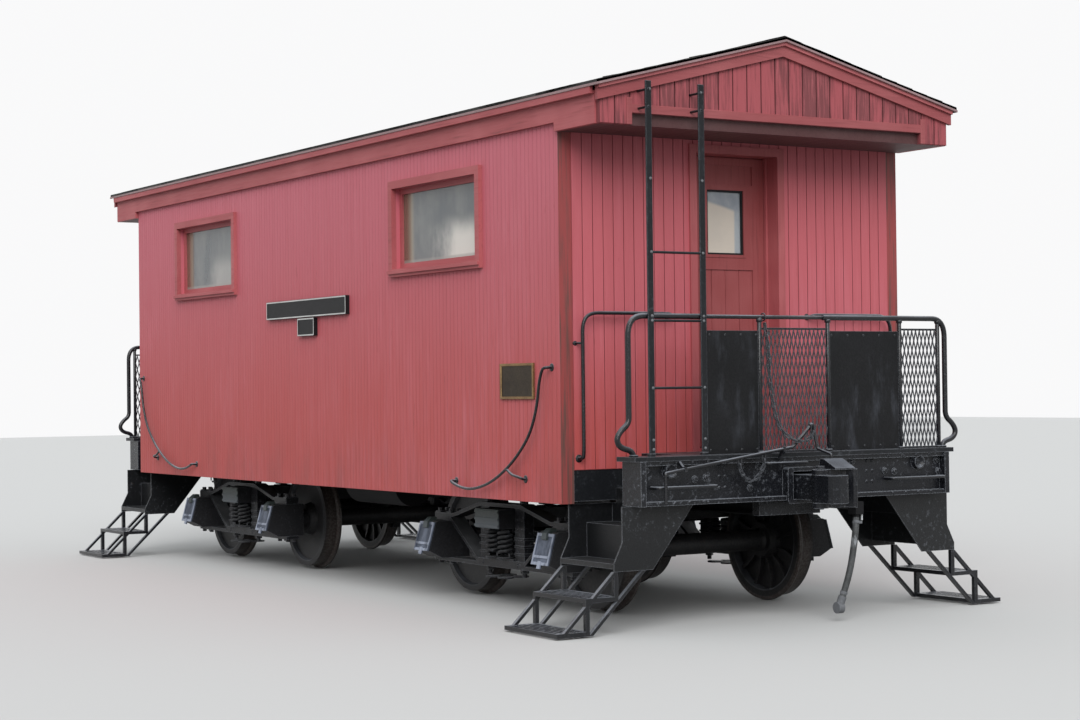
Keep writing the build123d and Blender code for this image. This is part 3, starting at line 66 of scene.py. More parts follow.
WALL_X = high("side_wall_left").x
WALL_Y = high("side_wall_left").y
SKIRT_Z = low("side_wall_left").z
WALL_THICK = 0.090
DECK_Z = high("cabin_floor").z + 0.025
CEILING_Z = low("ceilings").z
GABLE_X = high("gable_boards").x
GABLE_Y = high("gable_boards").y
EAR_Y = 1.230
GABLE_LOW = CEILING_Z + 0.075
BARGE_X = high("bargeboards").x
WINDOW_X = 2.135
WINDOW_Z = (low("window_glass").z, high("window_glass").z)
PANE_Y = high("window_glass").y
ROOF_X = high("roof").x
ROOF_Y = high("roof").y
ROOF_TOP = high("roof").z
ROOF_SLAB = 0.031
ROOF_SLOPE = (ROOF_TOP - ROOF_SLAB - low("roof").z) / ROOF_Y
BEAM_TOP = DECK_Z - 0.030
BEAM_LOW = BEAM_TOP - 0.286
BEAM_X = high("platform_decks").x - 0.013
BEAM_RECESS = 0.042
RAILING_X = BEAM_X - 0.060
RAIL_Z = DECK_Z + 0.900
POST_Y = 0.275
MESH_Y = (high("railing_panels").y + 0.030, high("railing_mesh").y)
MESH_TOP = high("railing_mesh").z
STILE_X = RAILING_X + 0.031
STILE_Y = (-1.170, -0.763)
STILE_TOP = high("end_ladders").z
TRUCK_X = 2.330
AXLE_X = 0.8555
AXLE_Z = 0.444
LID_LEAN = 0.279
LID_Y = 1.350
TREAD = 0.419
RIM = 0.366
BOLSTER_END = 1.160
LUG_HALF = 0.034
FRAME_Y = 1.000
FRAME_FACE = FRAME_Y + 0.060
PLANK_X = 0.180
PLANK_Z = (0.332, 0.346)
BOLSTER_LOW = low("truck_near_bolster").z
NEST_X = 0.085
NEST_Y = 0.064
IRON_TOP = (-0.105, 0.583)
IRON_CURVE = ((-0.147, 0.568), (-0.187, 0.480), (-0.212, 0.330), (-0.300, 0.145), (-0.470, -0.008),
              (-0.655, -0.122), (-0.860, -0.210), (-1.080, -0.256), (-1.240, -0.252), (-1.373, -0.221))
IRON_FOOT = (-0.455, -0.168)
PANE_HALF = 0.583
WINDOW_GAP = 0.670
DOOR_HALF = 0.385
DOOR_TALL = 2.100
RUNGS = (0.438, 0.870, 1.309)
HOSE_ROUTE = ((4.652, 0.335, 0.6853), (4.666, 0.321, 0.6253), (4.676, 0.299, 0.5353), (4.678, 0.279, 0.4353),
              (4.672, 0.259, 0.3353), (4.660, 0.235, 0.2403), (4.648, 0.215, 0.1703))

# The photograph's camera: its place, its bearing, rise and roll in degrees, and its lens in millimetres
CAMERA_PLACE = (15.5445, -8.8357, 1.5754)
CAMERA_TURN = (58.38, 0.77, -0.67)
CAMERA_LENS = 70.2
DIRECT_RAYS = ("Is Camera Ray", "Is Glossy Ray", "Is Transmission Ray")

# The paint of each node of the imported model; what is left is black steel, or truck iron on the trucks
FINISHES = {
    "side_boards": ("side_wall_left", "side_wall_right"),
    "end_boards": ("end_walls",),
    "gable_boards": ("gable_boards",),
    "trim_across": ("bargeboards",),
    "trim_along": ("eave_boards", "window_casings", "window_sashes"),
    "trim_upright": ("door_casings",),
    "door_paint": ("door_near", "door_far"),
    # The ceilings' paint carries painted shade
    "ceiling_paint_and_shade": ("ceilings",),
    "window_glass": ("window_glass",),
    "door_glass": ("door_glass_near", "door_glass_far"),
    "shingles": ("roof",),
    "floor_planks": ("cabin_floor",),
    "hose_rubber": ("air_hose_near", "air_hose_far"),
    "fitting_steel": ("glad_hand_near", "glad_hand_far"),
    "beam_steel": ("end_beams", "couplers", "coupler_knuckles"),
    "sheet_steel": ("railing_panels",),
    "panel_steel": ("step_boxes",),
    "rod_steel": ("end_railings", "uncoupling_rods", "beam_grab_irons", "end_wall_grab_pipes", "drop_steps"),
    "box_iron": ("truck_near_journal_boxes", "truck_far_journal_boxes"),
    "bolster_iron": ("truck_near_bolster", "truck_far_bolster"),
    "underfloor": ("brake_cylinder", "centre_sill", "body_bolsters", "cross_bearers", "train_line"),
}


# Shader maths
class Signal:
    """An output socket of a shader node that can be added, multiplied and compared."""

    def __init__(self, paint, socket):
        self.paint = paint
        self.socket = socket

    def maths(self, operation, *terms):
        return self.paint.node("ShaderNodeMath", {"operation": operation}, dict(enumerate(terms)))

    def __add__(self, other):
        return self.maths("ADD", self, other)

    __radd__ = __add__

    def __mul__(self, other):
        return self.maths("MULTIPLY", self, other)

    __rmul__ = __mul__

    def __sub__(self, other):
        return self.maths("SUBTRACT", self, other)

    def __rsub__(self, other):
        return self.maths("SUBTRACT", other, self)

    def __truediv__(self, other):
        return self.maths("DIVIDE", self, other)

    def __gt__(self, other):
        return self.maths("GREATER_THAN", self, other)

    def __abs__(self):
        return self.maths("ABSOLUTE", self)

    def floor(self):
        return self.maths("FLOOR", self)

    def biggest(self, other):
        return self.maths("MAXIMUM", self, other)

    def wave(self, half):
        """Distance from the nearest multiple of two halves."""
        return self.maths("PINGPONG", self, half)

    def root(self):
        return self.maths("SQRT", self)

    def between(self, start, stop):
        """0 below start, 1 above stop, smooth between them."""
        return self.paint.node("ShaderNodeMapRange", {"interpolation_type": "SMOOTHSTEP"},
                               {"Value": self, "From Min": start, "From Max": stop})


PAINTS = {}


class Paint:
    """A material's node tree with its Principled shader, kept in PAINTS under its name."""

    def __init__(self, name):
        self.material = bpy.data.materials.new(name)
        self.material.use_nodes = True
        self.tree = self.material.node_tree
        self.shader = self.tree.nodes["Principled BSDF"]
        self.place = self.node("ShaderNodeTexCoord", out="Object")
        parts = self.node("ShaderNodeSeparateXYZ", {}, {0: self.place}, out=None)
        self.x, self.y, self.z = (Signal(self, part) for part in parts.outputs)
        PAINTS[name] = self

    def node(self, kind, settings=None, sockets=None, out=0):
        made = self.tree.nodes.new(kind)
        for key, value in (settings or {}).items():
            setattr(made, key, value)
        for key, value in (sockets or {}).items():
            self.feed(made.inputs[key], value)
        if out is None:
            return made
        return Signal(self, made.outputs[out])

    def feed(self, socket, value):
        if isinstance(value, Signal):
            self.tree.links.new(value.socket, socket)
        elif socket.type == "RGBA" and not isinstance(value, (int, float)):
            socket.default_value = (*value[:3], 1.0)
        else:
            socket.default_value = value

    def noise(self, scale, detail=4.0, stretch=(1, 1, 1), rough=0.55):
        place = self.node("ShaderNodeMapping", {}, {"Vector": self.place, "Scale": stretch})
        return self.node("ShaderNodeTexNoise", {},
                         {"Vector": place, "Scale": scale, "Detail": detail, "Roughness": rough})

    def chance(self, number):
        """One value from 0 to 1 for each whole number."""
        return self.node("ShaderNodeTexWhiteNoise", {"noise_dimensions": "1D"}, {"W": number})

    def mix(self, first, second, share):
        return self.node("ShaderNodeMix", {"data_type": "RGBA"}, {0: share, 6: first, 7: second}, out=2)

    def set(self, **values):
        for key, value in values.items():
            self.feed(self.shader.inputs[key.replace("_", " ")], value)

    def bump(self, height, distance, strength=1.0):
        normal = self.node("ShaderNodeBump", {}, {"Height": height, "Distance": distance,
                                                  "Strength": strength})
        self.feed(self.shader.inputs["Normal"], normal)

    def worn_edge(self, radius):
        """1 along sharp outside edges, 0 on flat faces."""
        rounded = self.node("ShaderNodeBevel", {"samples": 4}, {"Radius": radius})
        facing = self.node("ShaderNodeNewGeometry", out="Normal")
        agreement = self.node("ShaderNodeVectorMath", {"operation": "DOT_PRODUCT"},
                              {0: rounded, 1: facing}, out="Value")
        return (1 - agreement).between(0.02, 0.25)


def toned(colour, share, lift=0.0):
    """A darker or paler tone of a colour."""
    return [min(1, part * share + lift) for part in colour]


def near(signal, middle, half, soft):
    """1 within half of a middle value, fading over soft on both sides."""
    return 1 - abs(signal - middle).between(half, half + soft)


def painted_boards(name, colour, along, pitch, seam, gap, grime=0.0):
    """Red paint on vertical boards that stand side by side along x or y, paler and bluer towards the top as
    painted sky sheen.
    """
    p = Paint(name)
    run = p.x if along == "x" else p.y
    board = (run / pitch + 0.5).floor()
    groove = 1 - (run + pitch / 2).wave(pitch / 2).between(gap * 0.25, gap)
    streak = p.noise(9.0, 5, (4, 4, 0.22))
    brush = p.noise(62.0, 4, (1, 1, 0.035))
    cloud = p.noise(0.55, 3)
    # A paler, bluer red: used for pale weathered streaks and for the painted sky sheen towards the top
    faded_and_sheen = (min(1, colour[0] * 1.16), colour[1] * 1.70, colour[2] * 2.36)
    dark = toned(colour, 0.62)
    if along == "x":
        height = p.z.between(SKIRT_Z + 0.1, CEILING_Z)
    else:
        height = p.z.between(DECK_Z, DECK_Z + 1.0) * 0.62
    # Painted sky sheen: the boards turn paler and bluer towards the top, less on the end walls
    base = p.mix(colour, faded_and_sheen, height)
    base = p.mix(base, toned(faded_and_sheen, 1.12, 0.045), (streak * 0.5 + cloud * 0.6).between(0.50, 0.90) * 0.6)
    base = p.mix(base, dark, (p.chance(board) * 0.22 + brush * 0.45).between(0.28, 0.85) * 0.38)
    flaw = p.noise(34.0, 5, (1, 1, 0.12), 0.7).between(0.62, 0.72) * p.noise(1.7, 3).between(0.40, 0.65)
    base = p.mix(base, toned(colour, 0.55), flaw * 0.55)
    chip = p.noise(26.0, 6, (1, 1, 0.30), 0.7).between(0.68, 0.75) * p.noise(3.1, 2).between(0.45, 0.7)
    base = p.mix(base, toned(colour, 0.42, 0.01), chip * 0.8)
    base = p.mix(base, toned(colour, 0.22), groove * seam)
    if along == "x":
        bare = abs(p.x).between(WALL_X - 0.004, WALL_X - 0.001)
        grain = p.noise(40.0, 5, (1, 1, 0.05))
        wood = p.mix(dark, (0.085, 0.045, 0.036), grain.between(0.40, 0.66))
        base = p.mix(base, wood, bare * 0.9)
    if grime:
        splash = p.noise(5.0, 4, (1, 1, 0.3)).between(0.35, 0.75)
        base = p.mix(base, (0.12, 0.055, 0.05), (1 - p.z.between(SKIRT_Z, SKIRT_Z + 0.55)) * splash * grime)
    p.set(Base_Color=base, Roughness=0.50 + brush * 0.24)
    p.bump(brush * 0.40 + streak * 0.2 + p.noise(170.0, 2, (1, 1, 0.15)) * 0.25 - groove * 1.2, 0.0035)


def painted_trim(name, colour, length_axis, wear=0.35):
    """Red paint on planed boards, a little paler where the weather reaches them."""
    p = Paint(name)
    grain = p.noise(48.0, 5, [0.06 if axis == length_axis else 1.0 for axis in "xyz"])
    cloud = p.noise(1.3, 3)
    base = p.mix(colour, toned(colour, 1.25, 0.04), cloud.between(0.42, 0.75) * 0.55)
    base = p.mix(base, toned(colour, 0.55), grain.between(0.50, 0.80) * 0.45)
    bare = grain.between(0.62, 0.72) * p.noise(2.2, 3).between(0.52, 0.66)
    base = p.mix(base, toned(colour, 0.36, 0.02), bare * wear)
    p.set(Base_Color=base, Roughness=0.48 + grain * 0.25)
    p.bump(grain, 0.0025)


def gable_planks(colour, pitch):
    """Red paint that weathers to dark streaks on rough vertical planks."""
    p = Paint("gable_boards")
    plank = (p.y / pitch + 0.5).floor()
    groove = 1 - (p.y + pitch / 2).wave(pitch / 2).between(0.001, 0.006)
    grain = p.noise(44.0, 6, (1, 1, 0.07), 0.65)
    cloud = p.noise(2.6, 4, (1, 1, 0.5))
    tone = p.chance(plank)
    base = p.mix(colour, toned(colour, 1.25, 0.05), (cloud * 0.6 + tone * 0.5).between(0.45, 0.95) * 0.7)
    worn = (grain * 0.75 + cloud * 0.42 + tone * 0.14).between(0.54, 0.74)
    base = p.mix(base, toned(colour, 0.34, 0.004), worn * 0.80)
    base = p.mix(base, toned(colour, 0.20), groove * 0.55)
    p.set(Base_Color=base, Roughness=0.62 + grain * 0.2)
    p.bump(grain - groove * 1.5, 0.005)


def steel_skin(p, colour, gloss=0.34, dust_and_sheen=0.0, rust=0.0, edge=0.0, dust_and_sheen_colour=(0.16, 0.15, 0.14), glint=0.0,
               shine=0.18):
    """Thick paint over pitted steel: lumps, rust spots and worn edges, dust with painted sheen on up-facing
    faces, and painted glints as bright specks.
    """
    skin = p.noise(85.0, 5, rough=0.6)
    broad = p.noise(3.0, 4)
    fine = p.noise(320.0, 2)
    base = p.mix(colour, toned(colour, 1.8, 0.006), (skin * 0.7 + broad * 0.45).between(0.46, 0.80) * 0.6)
    facing = p.node("ShaderNodeNewGeometry", out="Normal")
    up = p.node("ShaderNodeSeparateXYZ", {}, {0: facing}, out=2)
    # Up-facing faces take a second colour: settled dust, and where that colour is pale blue-grey a painted
    # sky sheen and highlight
    up_dust_and_sheen = up.between(0.25, 0.95) * (0.35 + 0.65 * broad.between(0.3, 0.7))
    base = p.mix(base, dust_and_sheen_colour, up_dust_and_sheen * dust_and_sheen)
    spots = p.noise(24.0, 6, rough=0.7).between(0.66, 0.73) * broad.between(0.45, 0.62)
    base = p.mix(base, (0.105, 0.045, 0.022), spots * rust)
    # Painted glints: bright specks that stand in for highlights on the paint's lumps
    if glint:
        painted_glints = p.noise(34.0, 6, rough=0.72).between(0.54, 0.74) * broad.between(0.36, 0.62)
        base = p.mix(base, (0.200, 0.215, 0.245), painted_glints * glint)
    if edge:
        base = p.mix(base, (0.34, 0.36, 0.40), p.worn_edge(0.006) * skin.between(0.24, 0.50) * edge)
    p.set(Base_Color=base, Roughness=gloss + skin * 0.16 + up_dust_and_sheen * 0.1)
    p.shader.inputs["Specular IOR Level"].default_value = shine
    p.bump(skin * 0.7 + fine * 0.2 - spots * 0.5, 0.0030)
    return base


# What each paint on steel adds to its colour
# Beam and rod steel have pale blue-grey colours for up-facing faces: painted sky sheen and highlight more
# than dust; glint sets the strength of the painted glints
STEELS = {
    "beam_steel": dict(colour=(0.0065, 0.0072, 0.0095), gloss=0.18, dust_and_sheen=0.95, rust=0.35, edge=0.9,
                       dust_and_sheen_colour=(0.26, 0.28, 0.32), glint=1.0, shine=0.28),
    "panel_steel": dict(colour=(0.006, 0.0065, 0.0075), gloss=0.28, dust_and_sheen=0.35, rust=0.20, edge=0.6,
                        dust_and_sheen_colour=(0.12, 0.125, 0.13), glint=0.55, shine=0.32),
    "rod_steel": dict(colour=(0.006, 0.0065, 0.0085), gloss=0.14, dust_and_sheen=0.90, rust=0.10, edge=0.2,
                      dust_and_sheen_colour=(0.30, 0.32, 0.36), glint=0.25, shine=0.40),
    "truck_iron": dict(colour=(0.011, 0.011, 0.013), gloss=0.26, dust_and_sheen=0.65, rust=0.30, edge=0.55,
                       dust_and_sheen_colour=(0.17, 0.175, 0.18), glint=0.7, shine=0.22),
    "underfloor": dict(colour=(0.007, 0.007, 0.008), gloss=0.60, dust_and_sheen=0.10, rust=0.05),
    "sign_black": dict(colour=(0.007, 0.007, 0.008), gloss=0.40, dust_and_sheen=0.05),
    "sign_rim": dict(colour=(0.50, 0.50, 0.49), gloss=0.45),
    "fitting_steel": dict(colour=(0.13, 0.135, 0.145), dust_and_sheen=0.3, rust=0.25, edge=0.5, glint=0.6),
    "pale_paint": dict(colour=(0.56, 0.58, 0.60), gloss=0.40, rust=0.15),
    "drip_metal": dict(colour=(0.27, 0.18, 0.185), gloss=0.42, rust=0.10),
}
CASTING = dict(colour=(0.018, 0.018, 0.020), rust=0.30, edge=0.3, dust_and_sheen_colour=(0.15, 0.145, 0.14), glint=0.2)


def sheet_steel():
    """Flat panels of the railings: black, with pale smears where water has dried."""
    p = Paint("sheet_steel")
    base = steel_skin(p, (0.0050, 0.0052, 0.0062), dust_and_sheen=0.15, rust=0.08, edge=0.5, dust_and_sheen_colour=(0.10, 0.10, 0.10))
    smear = p.noise(9.0, 7, (1, 1, 0.30), 0.68).between(0.46, 0.76) * p.noise(2.4, 3).between(0.34, 0.60)
    p.set(Base_Color=p.mix(base, (0.080, 0.086, 0.104), smear * 0.55))


def box_iron():
    """Journal boxes: black castings with pale blue-grey lids and a painted highlight along the lids'
    borders.
    """
    p = Paint("box_iron")
    base = steel_skin(p, dust_and_sheen=0.42, **CASTING)
    over_lid = abs(p.y) + p.z * LID_LEAN - LID_Y
    lid = over_lid.between(-0.006, -0.003)
    # Painted highlight: a bright blue-grey line along the lids' borders
    rim = over_lid.between(0.001, 0.004)
    cloud = p.noise(14.0, 4, (1, 1, 0.4))
    pale = p.mix((0.060, 0.073, 0.105), (0.150, 0.176, 0.235), cloud.between(0.38, 0.66))
    base = p.mix(base, pale, lid * 0.92)
    base = p.mix(base, (0.40, 0.44, 0.54), rim * cloud.between(0.30, 0.55) * 0.8)
    lug = near(abs(abs(p.x) - TRUCK_X), AXLE_X, LUG_HALF, 0.004)
    base = p.mix(base, (0.060, 0.075, 0.070), lug * p.z.between(0.520, 0.535) * 0.9)
    p.set(Base_Color=base)


def bolster_iron():
    """Bolsters with grey-green ends."""
    p = Paint("bolster_iron")
    base = steel_skin(p, dust_and_sheen=0.40, **CASTING)
    end = abs(p.y).between(BOLSTER_END, BOLSTER_END + 0.006)
    cloud = p.noise(20.0, 4)
    lower = (1 - p.z.between(0.57, 0.70)) * 0.8 + cloud * 0.2
    base = p.mix(base, p.mix((0.070, 0.085, 0.075), (0.150, 0.170, 0.190), lower), end * 0.85)
    p.set(Base_Color=base)


def window_glass():
    """Glass, blue-grey above with paler patches of dust and painted sheen, a pale patch in the lower corner
    that is a painted reflection, and painted light where the inner frame shows along one edge.
    """
    p = Paint("window_glass")
    drift = p.noise(3.2, 4, (1, 1, 0.7))
    streak = p.noise(7.0, 4, (1, 1, 0.12))
    near_half = p.x > 0
    local = (p.x - (near_half * 2 - 1) * WINDOW_X) * (1 - (p.y > 0) * 2)
    # Paler patches: dust and painted sheen
    dust_and_sheen = (drift * 0.8 + streak * 0.3).between(0.40, 0.75)
    base = p.mix((0.165, 0.180, 0.190), (0.270, 0.275, 0.270), dust_and_sheen)
    low_part = 1 - (p.z + drift * 0.16).between(WINDOW_Z[0] + 0.22, WINDOW_Z[0] + 0.40)
    # Painted reflection: a pale patch in the lower corner, stronger on the windows at the near end
    pale_lower_patch = (local + drift * 0.6 + streak * 0.2).between(0.25, 0.62) * low_part
    base = p.mix(base, (0.86, 0.82, 0.76), pale_lower_patch * (0.35 + 0.6 * near_half))
    # Painted light: the inner wooden frame's lit colour painted on the glass along its edge
    edge = 1 - local.between(-0.470, -0.400)
    painted_lit_frame = p.mix((0.230, 0.112, 0.078), (0.40, 0.34, 0.26), local.between(-0.545, -0.455))
    base = p.mix(base, painted_lit_frame, edge * (0.75 + 0.25 * streak))
    sill = 1 - p.z.between(WINDOW_Z[0] + 0.012, WINDOW_Z[0] + 0.030)
    base = p.mix(base, (0.42, 0.40, 0.37), sill * 0.6)
    p.set(Base_Color=base, Roughness=0.10, Alpha=0.74)
    p.bump(p.noise(2.0, 2), 0.002, 0.25)


def door_glass():
    """Door panes, cream-clouded below and clear grey above."""
    p = Paint("door_glass")
    drift = p.noise(4.5, 4)
    across = p.y * ((p.x > 0) * 2 - 1)
    base = p.mix((0.28, 0.31, 0.35), (0.42, 0.45, 0.48), drift.between(0.35, 0.65))
    pale_lower_patch = 1 - (p.z + across * 0.25 + drift * 0.03).between(2.83, 2.86)
    pale_lower_patch = pale_lower_patch * (1 - across.between(0.085, 0.105))
    base = p.mix(base, (0.72, 0.63, 0.53), pale_lower_patch * (0.75 + 0.25 * drift))
    p.set(Base_Color=base, Roughness=0.12, Alpha=0.85)
    p.bump(p.noise(2.0, 2), 0.002, 0.25)


def shingles():
    """Worn grit-covered shingles, each tab of its own grey, with a little moss."""
    p = Paint("shingles")
    grit = p.noise(420.0, 3, rough=0.7)
    patch = p.noise(2.4, 4)
    tab_wide, tab_deep = 0.305, 0.139
    tab = p.chance((p.x / tab_wide).floor() + (p.y / tab_deep).floor() * 37)
    tone = (grit * 0.6 + patch * 0.35 + tab * 0.3).between(0.40, 0.95)
    base = p.mix((0.020, 0.019, 0.020), (0.080, 0.076, 0.072), tone)
    base = p.mix(base, (0.055, 0.062, 0.035), p.noise(5.5, 5).between(0.62, 0.74) * 0.4)
    p.set(Base_Color=base, Roughness=0.93)
    p.bump(grit * 0.6 + p.noise(30.0, 4) * 0.6, 0.004)


def wheel_steel(name, middle):
    """Black plates with a paler rim, and rust-brown treads polished a little by rolling."""
    p = Paint(name)
    skin = p.noise(60.0, 5, rough=0.65)
    broad = p.noise(2.6, 4)
    along, up = p.x - middle, p.z - AXLE_Z
    radius = (along * along + up * up).root()
    tone = (skin * 0.6 + broad * 0.5).between(0.42, 0.80)
    base = p.mix((0.009, 0.009, 0.010), (0.034, 0.034, 0.037), tone)
    rim = near(radius, RIM, 0.006, 0.004) * broad.between(0.35, 0.55)
    base = p.mix(base, (0.15, 0.16, 0.18), rim * 0.5)
    base = p.mix(base, (0.055, 0.028, 0.018), skin.between(0.52, 0.72) * broad.between(0.40, 0.65) * 0.5)
    tread = radius.between(TREAD - 0.006, TREAD - 0.003) * abs(p.y).between(0.60, 0.62)
    worn = p.mix((0.045, 0.028, 0.022), (0.110, 0.098, 0.092), skin.between(0.35, 0.7))
    base = p.mix(base, worn, tread * 0.65)
    p.set(Base_Color=base, Roughness=0.36 + skin * 0.25 - tread * 0.08)
    p.shader.inputs["Specular IOR Level"].default_value = 0.3
    p.bump(skin, 0.0022)


def hose_rubber():
    """Weathered black rubber with pale streaks painted as highlights."""
    p = Paint("hose_rubber")
    wrap = p.noise(150.0, 3)
    cloud = p.noise(9.0, 3)
    # Painted highlights: pale streaks along the hose
    highlight_streak = p.noise(26.0, 3, (1, 1, 0.25)).between(0.56, 0.66)
    tone = (wrap * 0.5 + cloud * 0.6).between(0.40, 0.80)
    base = p.mix((0.028, 0.030, 0.031), (0.110, 0.115, 0.118), tone)
    base = p.mix(base, (0.42, 0.44, 0.47), highlight_streak * 0.55)
    p.set(Base_Color=base, Roughness=0.62)
    p.bump(wrap, 0.0012)


def bronze(name, light, dark):
    """Cast bronze that has dulled."""
    p = Paint(name)
    cast = p.noise(120.0, 4)
    broad = p.noise(6.0, 3)
    base = p.mix(light, dark, (cast * 0.5 + broad * 0.6).between(0.38, 0.75))
    p.set(Base_Color=base, Roughness=0.38 + cast * 0.2, Metallic=0.75)
    p.bump(cast, 0.001)


def floor_planks():
    """Bare planks of the cabin floor."""
    p = Paint("floor_planks")
    grain = p.noise(40.0, 5, (0.05, 1, 1))
    seam = 1 - p.y.wave(0.07).between(0.001, 0.004)
    base = p.mix((0.10, 0.070, 0.045), (0.24, 0.175, 0.115), grain.between(0.3, 0.75))
    base = p.mix(base, (0.02, 0.015, 0.01), seam * 0.8)
    p.set(Base_Color=base, Roughness=0.75)
    p.bump(grain - seam, 0.003)


def frame_wood():
    """Varnished boards round the inside of the windows."""
    p = Paint("frame_wood")
    grain = p.noise(55.0, 5, (0.2, 1, 0.2))
    base = p.mix((0.36, 0.235, 0.150), (0.22, 0.135, 0.080), grain.between(0.35, 0.7))
    p.set(Base_Color=base, Roughness=0.5 + grain * 0.2)
    p.bump(grain, 0.002)


# Mesh helpers
def only(obj):
    """Selects one piece and makes it the active one."""
    bpy.ops.object.select_all(action="DESELECT")
    obj.select_set(True)
    bpy.context.view_layer.objects.active = obj


def apply_place(obj):
    only(obj)
    bpy.ops.object.transform_apply(location=True, rotation=True, scale=True)
    return obj


def added(name):
    """The piece that the last call made, named and with its place applied."""
    bpy.context.object.name = name
    return apply_place(bpy.context.object)


def changed(obj, kind, **settings):
    """Puts a modifier on a piece, sets it up and applies it."""
    only(obj)
    mod = obj.modifiers.new(kind.lower(), kind)
    for key, value in settings.items():
        setattr(mod, key, value)
    bpy.ops.object.modifier_apply(modifier=mod.name)
    return obj


@contextmanager
def editing(obj, kind="VERT", action="SELECT"):
    """Edit mode on one piece, first with all or none of it selected; gives the mesh."""
    only(obj)
    bpy.ops.object.mode_set(mode="EDIT")
    bpy.ops.mesh.select_mode(type=kind)
    bpy.ops.mesh.select_all(action=action)
    yield bmesh.from_edit_mesh(obj.data)
    bpy.ops.object.mode_set(mode="OBJECT")


def bevelled(obj, width, angle=30):
    return changed(obj, "BEVEL", width=width, limit_method="ANGLE", angle_limit=radians(angle))


def rowed(obj, count, step):
    """Repeats a piece count times, each one step further."""
    return changed(obj, "ARRAY", count=count, use_relative_offset=False, use_constant_offset=True,
                   constant_offset_displace=step)


def smooth(obj, angle):
    only(obj)
    bpy.ops.object.shade_smooth_by_angle(angle=radians(angle))
    return obj


def faced_out(obj):
    """Turns all the faces of a piece outward."""
    with editing(obj):
        bpy.ops.mesh.normals_make_consistent(inside=False)
    return obj


def sliced(obj, point, normal):
    """Cuts away what lies on the side that the normal points to, and closes the cut."""
    with editing(obj):
        bpy.ops.mesh.bisect(plane_co=point, plane_no=normal, use_fill=True, clear_outer=True)
    return obj


def bar(name, start, stop, bevel=0.0):
    """A block between two corners, with its edges bevelled."""
    start, stop = Vector(start), Vector(stop)
    bpy.ops.mesh.primitive_cube_add(size=1, location=(start + stop) / 2)
    bpy.context.object.scale = [abs(a - b) for a, b in zip(start, stop)]
    block = added(name)
    return bevelled(block, bevel) if bevel else block


def rod(name, start, stop, radius, sides=14):
    """A round bar between two points, with its ends eased."""
    start, stop = Vector(start), Vector(stop)
    run = stop - start
    bpy.ops.mesh.primitive_cylinder_add(vertices=sides, radius=radius, depth=run.length,
                                        location=(start + stop) / 2,
                                        rotation=run.to_track_quat("Z", "Y").to_euler())
    return smooth(bevelled(added(name), radius * 0.15, angle=60), 50)


def round_curve(name, route, radius, facets, steps):
    """A thick round curve that follows a route of control points."""
    line = bpy.data.curves.new(name, "CURVE")
    line.dimensions = "3D"
    line.bevel_depth = radius
    line.bevel_resolution = facets
    line.use_fill_caps = True
    spline = line.splines.new("NURBS")
    spline.points.add(len(route) - 1)
    for point, place in zip(spline.points, route):
        point.co = (*place, 1)
    spline.order_u = 3
    spline.use_endpoint_u = True
    spline.resolution_u = steps
    obj = bpy.data.objects.new(name, line)
    bpy.context.scene.collection.objects.link(obj)
    return obj


def bent_rod(name, route, radius):
    """A smooth bent bar of mesh along a route."""
    only(round_curve(name, route, radius, facets=3, steps=8))
    bpy.ops.object.convert(target="MESH")
    return smooth(faced_out(bpy.context.object), 60)


def copied(obj, name=None, shift=None):
    only(obj)
    bpy.ops.object.duplicate(linked=False)
    twin = bpy.context.object
    if name:
        twin.name = name
    if shift:
        twin.location = shift
        apply_place(twin)
    return twin


def joined(pieces, name):
    only(pieces[0])
    for piece in pieces:
        piece.select_set(True)
    bpy.ops.object.join()
    pieces[0].name = name
    return pieces[0]


def moved_by(obj, matrix):
    obj.matrix_world = matrix @ obj.matrix_world
    return apply_place(obj)


def turned(obj, name):
    """A copy at the other end, turned half a turn about Z."""
    return moved_by(copied(obj, name), Matrix.Rotation(pi, 4, "Z"))


def turned_about(obj, x):
    """A copy turned half a turn about the upright line at x in the middle plane."""
    spin = Matrix.Translation((x, 0, 0)) @ Matrix.Rotation(pi, 4, "Z") @ Matrix.Translation((-x, 0, 0))
    return moved_by(copied(obj), spin)


def mirrored(obj, name):
    """A copy on the other side of the middle plane y = 0, with its faces turned out again."""
    return faced_out(moved_by(copied(obj, name), Matrix.Diagonal((1, -1, 1, 1))))


def carved(obj, start, stop):
    """Cuts a rectangular opening through a piece."""
    cutter = bar("cutter", start, stop)
    changed(obj, "BOOLEAN", operation="DIFFERENCE", solver="EXACT", object=cutter)
    bpy.data.objects.remove(cutter)
    return obj


def finished(obj, paint, body="carbody"):
    """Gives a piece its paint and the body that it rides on."""
    apply_place(obj)
    obj.data.materials.clear()
    obj.data.materials.append(PAINTS[paint].material)
    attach(obj, body)
    return obj


def with_turned_twin(piece, paint, twin_name=None):
    """Finishes a piece and its copy at the other end."""
    twin = turned(piece, twin_name or piece.name.replace("near", "far"))
    return [finished(each, paint) for each in (piece, twin)]


def at_four_corners(pieces, stem, side, other_side):
    """Joins what is drawn at one near corner, and finishes it and its copies at all four."""
    first = joined(pieces, f"{stem}_near_{side}")
    second = mirrored(first, f"{stem}_near_{other_side}")
    return (with_turned_twin(first, "rod_steel", f"{stem}_far_{other_side}")
            + with_turned_twin(second, "rod_steel", f"{stem}_far_{side}"))


def board_count(half, width):
    """The odd number of boards that fill twice a half length, and their exact width."""
    count = 2 * round(half / width - 0.5) + 1
    return count, 2 * half / count


